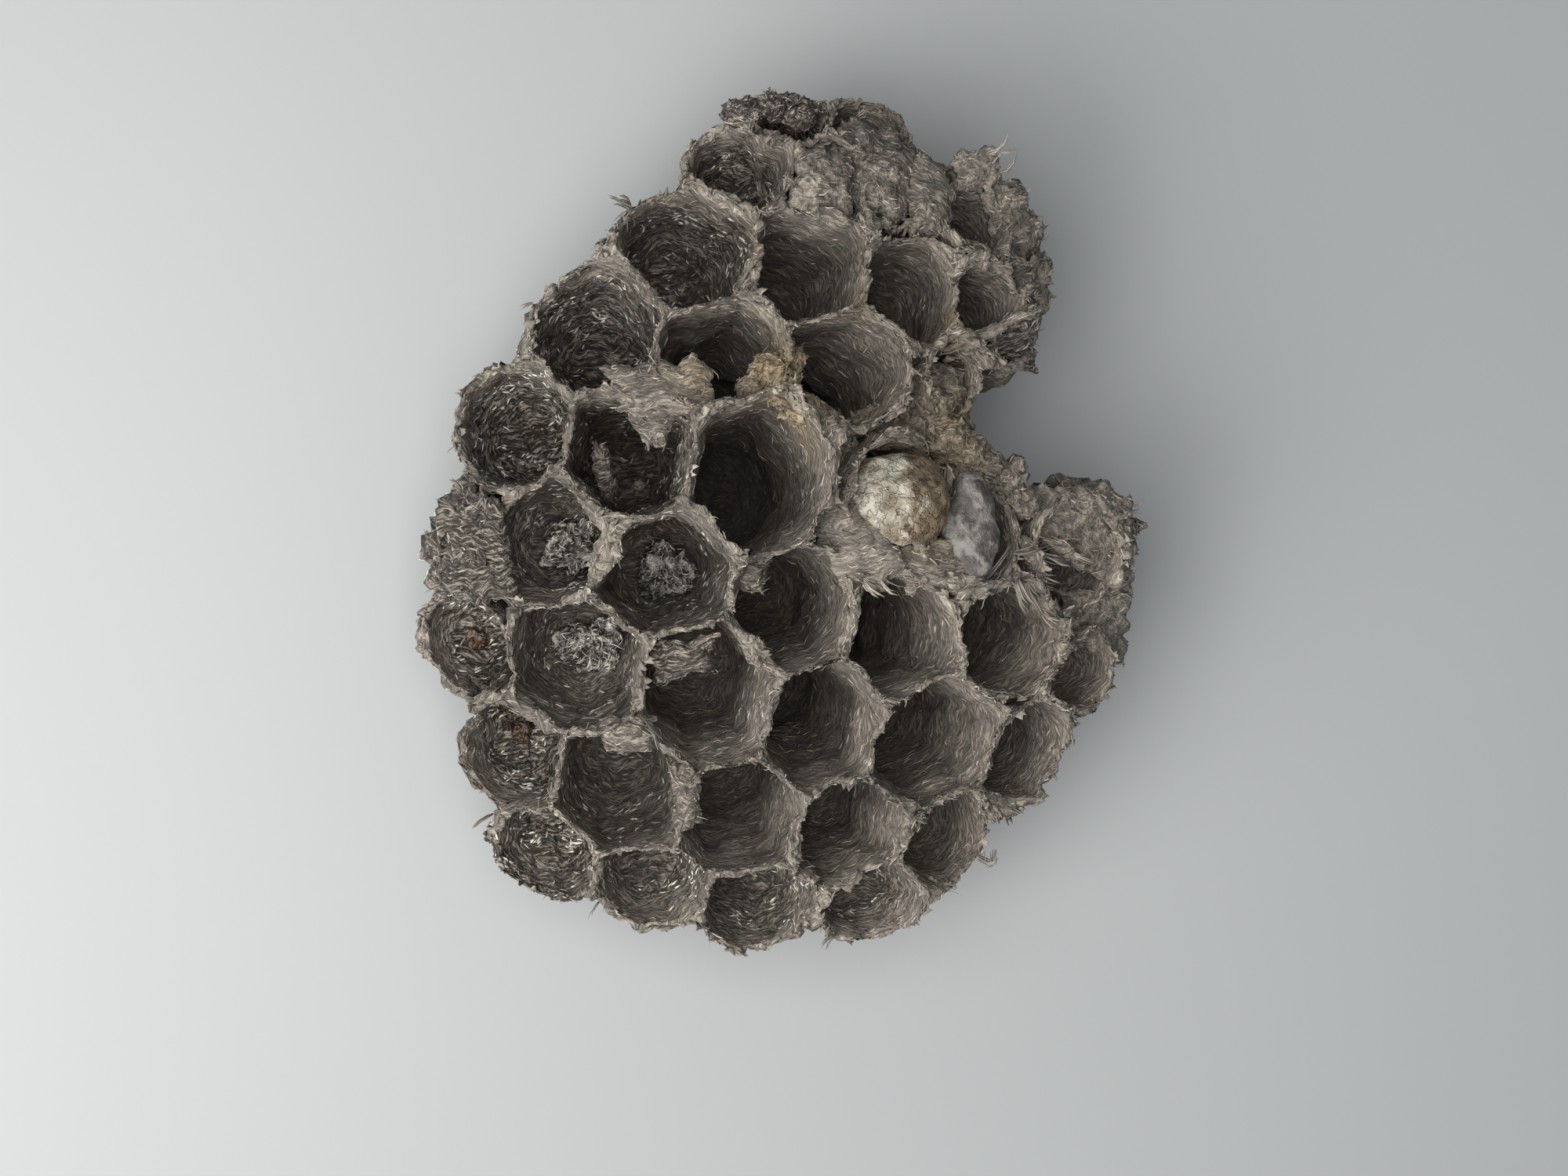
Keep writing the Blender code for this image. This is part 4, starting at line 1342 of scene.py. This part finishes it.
strip_data = np.repeat(np.array([strip[2:4] for strip in STRIPS]), STRIP_FIBRES, axis=0)
strip_marks = np.tile((0.5, 0.0, 0.0, 0.0), (len(strip_data), 1))
strip_ups = np.tile((0.25, 0.1, 1.0), (len(strip_data), STRAND_POINTS, 1))
strip_widths = strip_data[:, 0] * strand_random.uniform(0.2, 0.5, len(strip_data))
strip_tones = strip_data[:, 1] + strand_random.normal(0, 0.12, len(strip_data))
strips = strand_mesh("frayed_strips", strip_paths(), strip_ups, strip_widths, strip_widths * 0.4, strip_tones,
                     strip_marks)
finish_strands(strips, strand_finish)


# ---------------------------------------------------------------------------------------------------------
# The silk.
# Each grown grub closed its cell with a cap of spun silk and lined the walls with it. Two caps are left, one
# cream and one grey. In the open cells there are torn remains, and short pale threads on the dark lining,
# which are partly silk and partly painted highlights that stand in for the lining's glints.
# ---------------------------------------------------------------------------------------------------------
def silk_tone(tree):
    """Return a thread's own tone."""
    return add(tree, "ShaderNodeAttribute", attribute_name="tone").outputs["Fac"]


def silk_material(name, dark, pale, roughness, tone_from):
    """Build silk that runs from a dark to a pale colour with its tone."""
    finish, tree, shader = new_finish(name)
    tree.links.new(mix_colour(tree, tone_from(tree), dark, pale), shader["Base Color"])
    shader["Roughness"].default_value = roughness
    return finish


def crackle(tree, scale, width, detail=3.0):
    """Draw fine pale veins on the object's own coordinates."""
    place = add(tree, "ShaderNodeTexCoord").outputs["Object"]
    off = weighted_sum(tree, (noise_node(tree, place, detail, 0.55, scale), 1.0), offset=-0.5)
    return step_node(tree, math_node(tree, "ABSOLUTE", off), width, 0.0)


CAP_STAIN_FROM = 5.5          # along X, in millimetres: past it the cream cap is stained
CAP_STAIN_WANDER = 5.0


def cream_silk():
    """Build the cream cap's silk: matt, crackled, and stained brown on one side."""
    finish, tree, shader = new_finish("cream silk")
    place = add(tree, "ShaderNodeTexCoord").outputs["Object"]
    blotch = step_node(tree, noise_node(tree, place, 3.0, 0.6, 900.0), 0.38, 0.62)
    cream = mix_colour(tree, blotch, (0.165, 0.130, 0.085), (0.425, 0.395, 0.33))
    veins = crackle(tree, 1600.0, 0.045)
    cream = mix_colour(tree, veins, cream, (0.52, 0.50, 0.44), 0.35)
    parts = add(tree, "ShaderNodeSeparateXYZ")
    tree.links.new(place, parts.inputs[0])
    wander = noise_node(tree, place, 3.0, 0.6, 1300.0)
    side = weighted_sum(tree, (parts.outputs["X"], 1 / MM), (wander, CAP_STAIN_WANDER),
                        offset=-CAP_STAIN_FROM - CAP_STAIN_WANDER / 2)
    stain = step_node(tree, side, -0.4, 0.5)
    cream = mix_colour(tree, stain, cream, (0.155, 0.105, 0.054), 0.85)
    specks = step_node(tree, noise_node(tree, place, 3.0, 0.6, 1400.0), 0.52, 0.62)
    specks = math_node(tree, "MULTIPLY", specks, weighted_sum(tree, (stain, 0.75), offset=0.12))
    cream = mix_colour(tree, specks, cream, (0.065, 0.042, 0.022))
    tree.links.new(cream, shader["Base Color"])
    shader["Roughness"].default_value = 0.62
    lumpy = noise_node(tree, place, 4.0, 0.65, 1500.0)
    bumped(tree, weighted_sum(tree, (lumpy, 1.0), (veins, 0.3)), 0.00035)
    return finish


def grey_silk():
    """Build the grey cap's silk: thin, glossy and veined with white."""
    finish, tree, shader = new_finish("grey silk")
    place = add(tree, "ShaderNodeTexCoord").outputs["Object"]
    cloud = step_node(tree, noise_node(tree, place, 3.0, 0.55, 700.0), 0.35, 0.65)
    grey = mix_colour(tree, cloud, (0.052, 0.043, 0.036), (0.122, 0.110, 0.100))
    grey = mix_colour(tree, crackle(tree, 650.0, 0.10, 6.0), grey, (0.33, 0.315, 0.295), 0.55)
    tree.links.new(grey, shader["Base Color"])
    shader["Roughness"].default_value = 0.5
    bumped(tree, noise_node(tree, place, 5.0, 0.7, 1600.0), 0.0003)
    return finish


def rough_ball(name, middle, half_sizes, bulges, detail=5):
    """Make a stretched ball, uneven by bulges of (waves a millimetre, height in millimetres)."""
    bpy.ops.mesh.primitive_ico_sphere_add(subdivisions=detail, radius=1.0, location=(0, 0, 0))
    item = bpy.context.object
    item.name = item.data.name = name
    item.select_set(False)
    for vertex in item.data.vertices:
        place = vertex.co * Vector(half_sizes) + Vector(middle)
        out = vertex.co.normalized()
        place += out * sum(height * noise.noise(place * waves) for waves, height in bulges)
        vertex.co = place * MM
    item.data.shade_smooth()
    return item


def skin_of(item):
    """Return a skin over a whole object, without marks and with its grain near to X."""
    places = mesh_places(item)
    triangles = np.array([face.vertices[:3] for face in item.data.polygons])
    return make_skin(places, triangles, np.zeros((len(places), 4)),
                     lambda places: np.tile((1.0, 0.3, 0.0), (len(places), 1)))


def ball_place(node):
    """Return the middle and half sizes of a CAD node in millimetres."""
    low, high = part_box(node)
    return (Vector(low) + Vector(high)) / 2 / MM, (Vector(high) - Vector(low)) / 2 / MM


white_middle = ball_place("cocoon_cap_white")[0]
white_cap = rough_ball("cocoon_cap_white_silk", white_middle + Vector((0.25, 0.0, 0.1)),
                       (2.6, 2.1, 1.75), ((0.45, 0.5), (1.3, 0.2), (3.2, 0.07)))
cap_silk = cream_silk()
white_cap.data.materials.append(cap_silk)
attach(white_cap, "root")
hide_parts("cocoon_cap_white")

grey_middle = ball_place("cocoon_cap_grey")[0]
grey_cap = rough_ball("cocoon_cap_grey_silk", grey_middle + Vector((0.25, 0.05, 0.2)),
                      (1.45, 2.95, 1.2), ((0.6, 0.36), (1.5, 0.2), (3.0, 0.06)))
grey_cap.data.materials.append(grey_silk())
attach(grey_cap, "root")
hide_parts("cocoon_cap_grey")

bright_silk = silk_material("bright silk", (0.14, 0.12, 0.095), (0.80, 0.77, 0.70), 0.25, silk_tone)


def matted(tree):
    """Return the tone of matted silk: pale tufts with dark gaps."""
    place = add(tree, "ShaderNodeTexCoord").outputs["Object"]
    tone = step_node(tree, noise_node(tree, place, 3.0, 0.6, 1300.0), 0.40, 0.66)
    bumped(tree, tone, 0.0005)
    return tone


matted_silk = silk_material("matted silk", (0.040, 0.035, 0.028), (0.60, 0.58, 0.52), 0.3, matted)
REMAINS = {"cocoon_remains_1": 300, "cocoon_remains_2": 300, "cocoon_remains_3": 270}  # threads laid on each
for node, threads in REMAINS.items():
    middle, half = ball_place(node)
    tuft = rough_ball(f"{node}_silk", middle, half * 0.95, ((0.8, 0.7), (1.9, 0.55), (4.5, 0.28)))
    tuft.data.materials.append(matted_silk)
    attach(tuft, "root")
    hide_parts(node)
    felt_over(f"{node}_threads", skin_of(tuft), 1.0, threads, threads // 8, bright_silk,
              tone=0.6, order=0.9)

# pale threads on the lining, in patches: partly silk, partly painted highlights that stand in for its glints
GLINT_THREADS = 4800
patches = np.array([noise.noise(Vector(place) * 0.9) for place in middles_of_triangles])
weights = np.where(lined_in > 0.25, lined_in, 0.0) * (0.01 + smooth(0.05, 0.3, patches))
places, normals, grains, marks = pick_places(comb_skin, weights, GLINT_THREADS)
headings = turned_about(grains, normals, strand_random.normal(0, 0.55, GLINT_THREADS))
paths, ups = laid_paths(comb_skin, places, headings, strand_random.uniform(0.14, 0.5, GLINT_THREADS), 0.15)
paths += ups * 0.02
widths = strand_random.uniform(0.06, 0.15, GLINT_THREADS)
heights = strand_random.uniform(0.03, 0.06, GLINT_THREADS)
tones = tones_of(0.6, 0.38, GLINT_THREADS)
threads = strand_mesh("lining_glint_threads", paths, ups, widths, heights, tones, marks)
finish_strands(threads, bright_silk)

CRUMBS = (                    # a place that each is seen through, and its half size
    ((-7.2, 5.0, 15.0), 0.30),
    ((-8.2, 5.7, 15.0), 0.18),
    ((-6.7, 5.5, 15.0), 0.14),
)
for number, (through, size) in enumerate(CRUMBS, 1):
    camera_place = camera.matrix_world.translation / MM
    place = comb_skin.tree.ray_cast(camera_place, Vector(through) - camera_place)[0]
    half_sizes = Vector((1.1, 0.9, 0.9)) * size
    crumb = rough_ball(f"silk_crumb_{number}", place, half_sizes, ((2.0, 0.15), (5.0, 0.1)), 3)
    crumb.data.materials.append(cap_silk)
    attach(crumb, "root")


# ---------------------------------------------------------------------------------------------------------
# The dried waste.
# A grub's waste dries to a hard amber-brown pellet at the back of its cell. Two show, in cells at the left.
# ---------------------------------------------------------------------------------------------------------
def amber():
    """Build the pellets' glossy, uneven amber-brown."""
    finish, tree, shader = new_finish("dried waste")
    place = add(tree, "ShaderNodeTexCoord").outputs["Object"]
    share = step_node(tree, noise_node(tree, place, 3.0, 0.6, 2500.0), 0.4, 0.65)
    brown = mix_colour(tree, share, (0.016, 0.008, 0.005), (0.088, 0.047, 0.025))
    tree.links.new(brown, shader["Base Color"])
    shader["Roughness"].default_value = 0.3
    bumped(tree, noise_node(tree, place, 3.0, 0.6, 3500.0), 0.0002)
    return finish


amber_finish = amber()
for node in ("waste_pellet_1", "waste_pellet_2"):
    middle, half = ball_place(node)
    pellet = rough_ball(f"{node}_crust", middle, half * 0.95, ((1.6, 0.22), (3.5, 0.16), (7.0, 0.06)))
    pellet.data.materials.append(amber_finish)
    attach(pellet, "root")
    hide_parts(node)


# ---------------------------------------------------------------------------------------------------------
# The petiole.
# The stalk that the nest hung from, under its middle: pulp soaked in dried saliva, dark, hard and shiny. It
# is cut off flat where it was torn from its support.
# ---------------------------------------------------------------------------------------------------------
PETIOLE_SIDES = 40
PETIOLE = (                   # level, radius
    (0.0, 0.95), (0.25, 0.92), (0.6, 0.87), (0.9, 0.86), (1.3, 0.98), (1.7, 1.14), (2.1, 1.3),
)
bpy.ops.mesh.primitive_circle_add(vertices=PETIOLE_SIDES, radius=PETIOLE[0][1] * MM, fill_type="NGON",
                                  location=(0, 0, 0))
petiole = bpy.context.object
petiole.name = petiole.data.name = "petiole_stalk"
bpy.ops.object.mode_set(mode="EDIT")
bpy.ops.mesh.select_all(action="SELECT")
for (level, radius), (next_level, next_radius) in zip(PETIOLE, PETIOLE[1:]):
    bpy.ops.mesh.extrude_region_move(TRANSFORM_OT_translate={"value": (0, 0, (next_level - level) * MM)})
    share = next_radius / radius
    bpy.ops.transform.resize(value=(share, share, 1.0), center_override=(0, 0, next_level * MM))
bpy.ops.mesh.select_all(action="SELECT")
bpy.ops.mesh.normals_make_consistent(inside=False)
bpy.ops.object.mode_set(mode="OBJECT")
petiole.select_set(False)
for vertex in petiole.data.vertices:
    if 0 < vertex.co.z < (PETIOLE[-1][0] - 0.05) * MM:
        place = vertex.co / MM
        turn = math.atan2(place.y, place.x)
        swell = 1 + 0.06 * noise.noise((3.0 * math.cos(turn), 3.0 * math.sin(turn), place.z * 0.4)) \
            + 0.04 * noise.noise(place * 3.0)
        vertex.co.x *= swell
        vertex.co.y *= swell
petiole.data.shade_smooth()
petiole.data.set_sharp_from_angle(angle=math.radians(50))


def varnish():
    """Build the petiole's dark, shiny varnish, streaked along the stalk."""
    finish, tree, shader = new_finish("petiole varnish")
    place = add(tree, "ShaderNodeTexCoord").outputs["Object"]
    streaks = noise_node(tree, mapped(tree, place, (3500.0, 3500.0, 500.0)), 3.0, 0.6)
    share = step_node(tree, streaks, 0.35, 0.7)
    brown = mix_colour(tree, share, (0.012, 0.007, 0.004), (0.07, 0.043, 0.026))
    tree.links.new(brown, shader["Base Color"])
    shader["Roughness"].default_value = 0.3
    bumped(tree, streaks, 0.00012)
    return finish


petiole.data.materials.append(varnish())
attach(petiole, "root")
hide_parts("petiole")
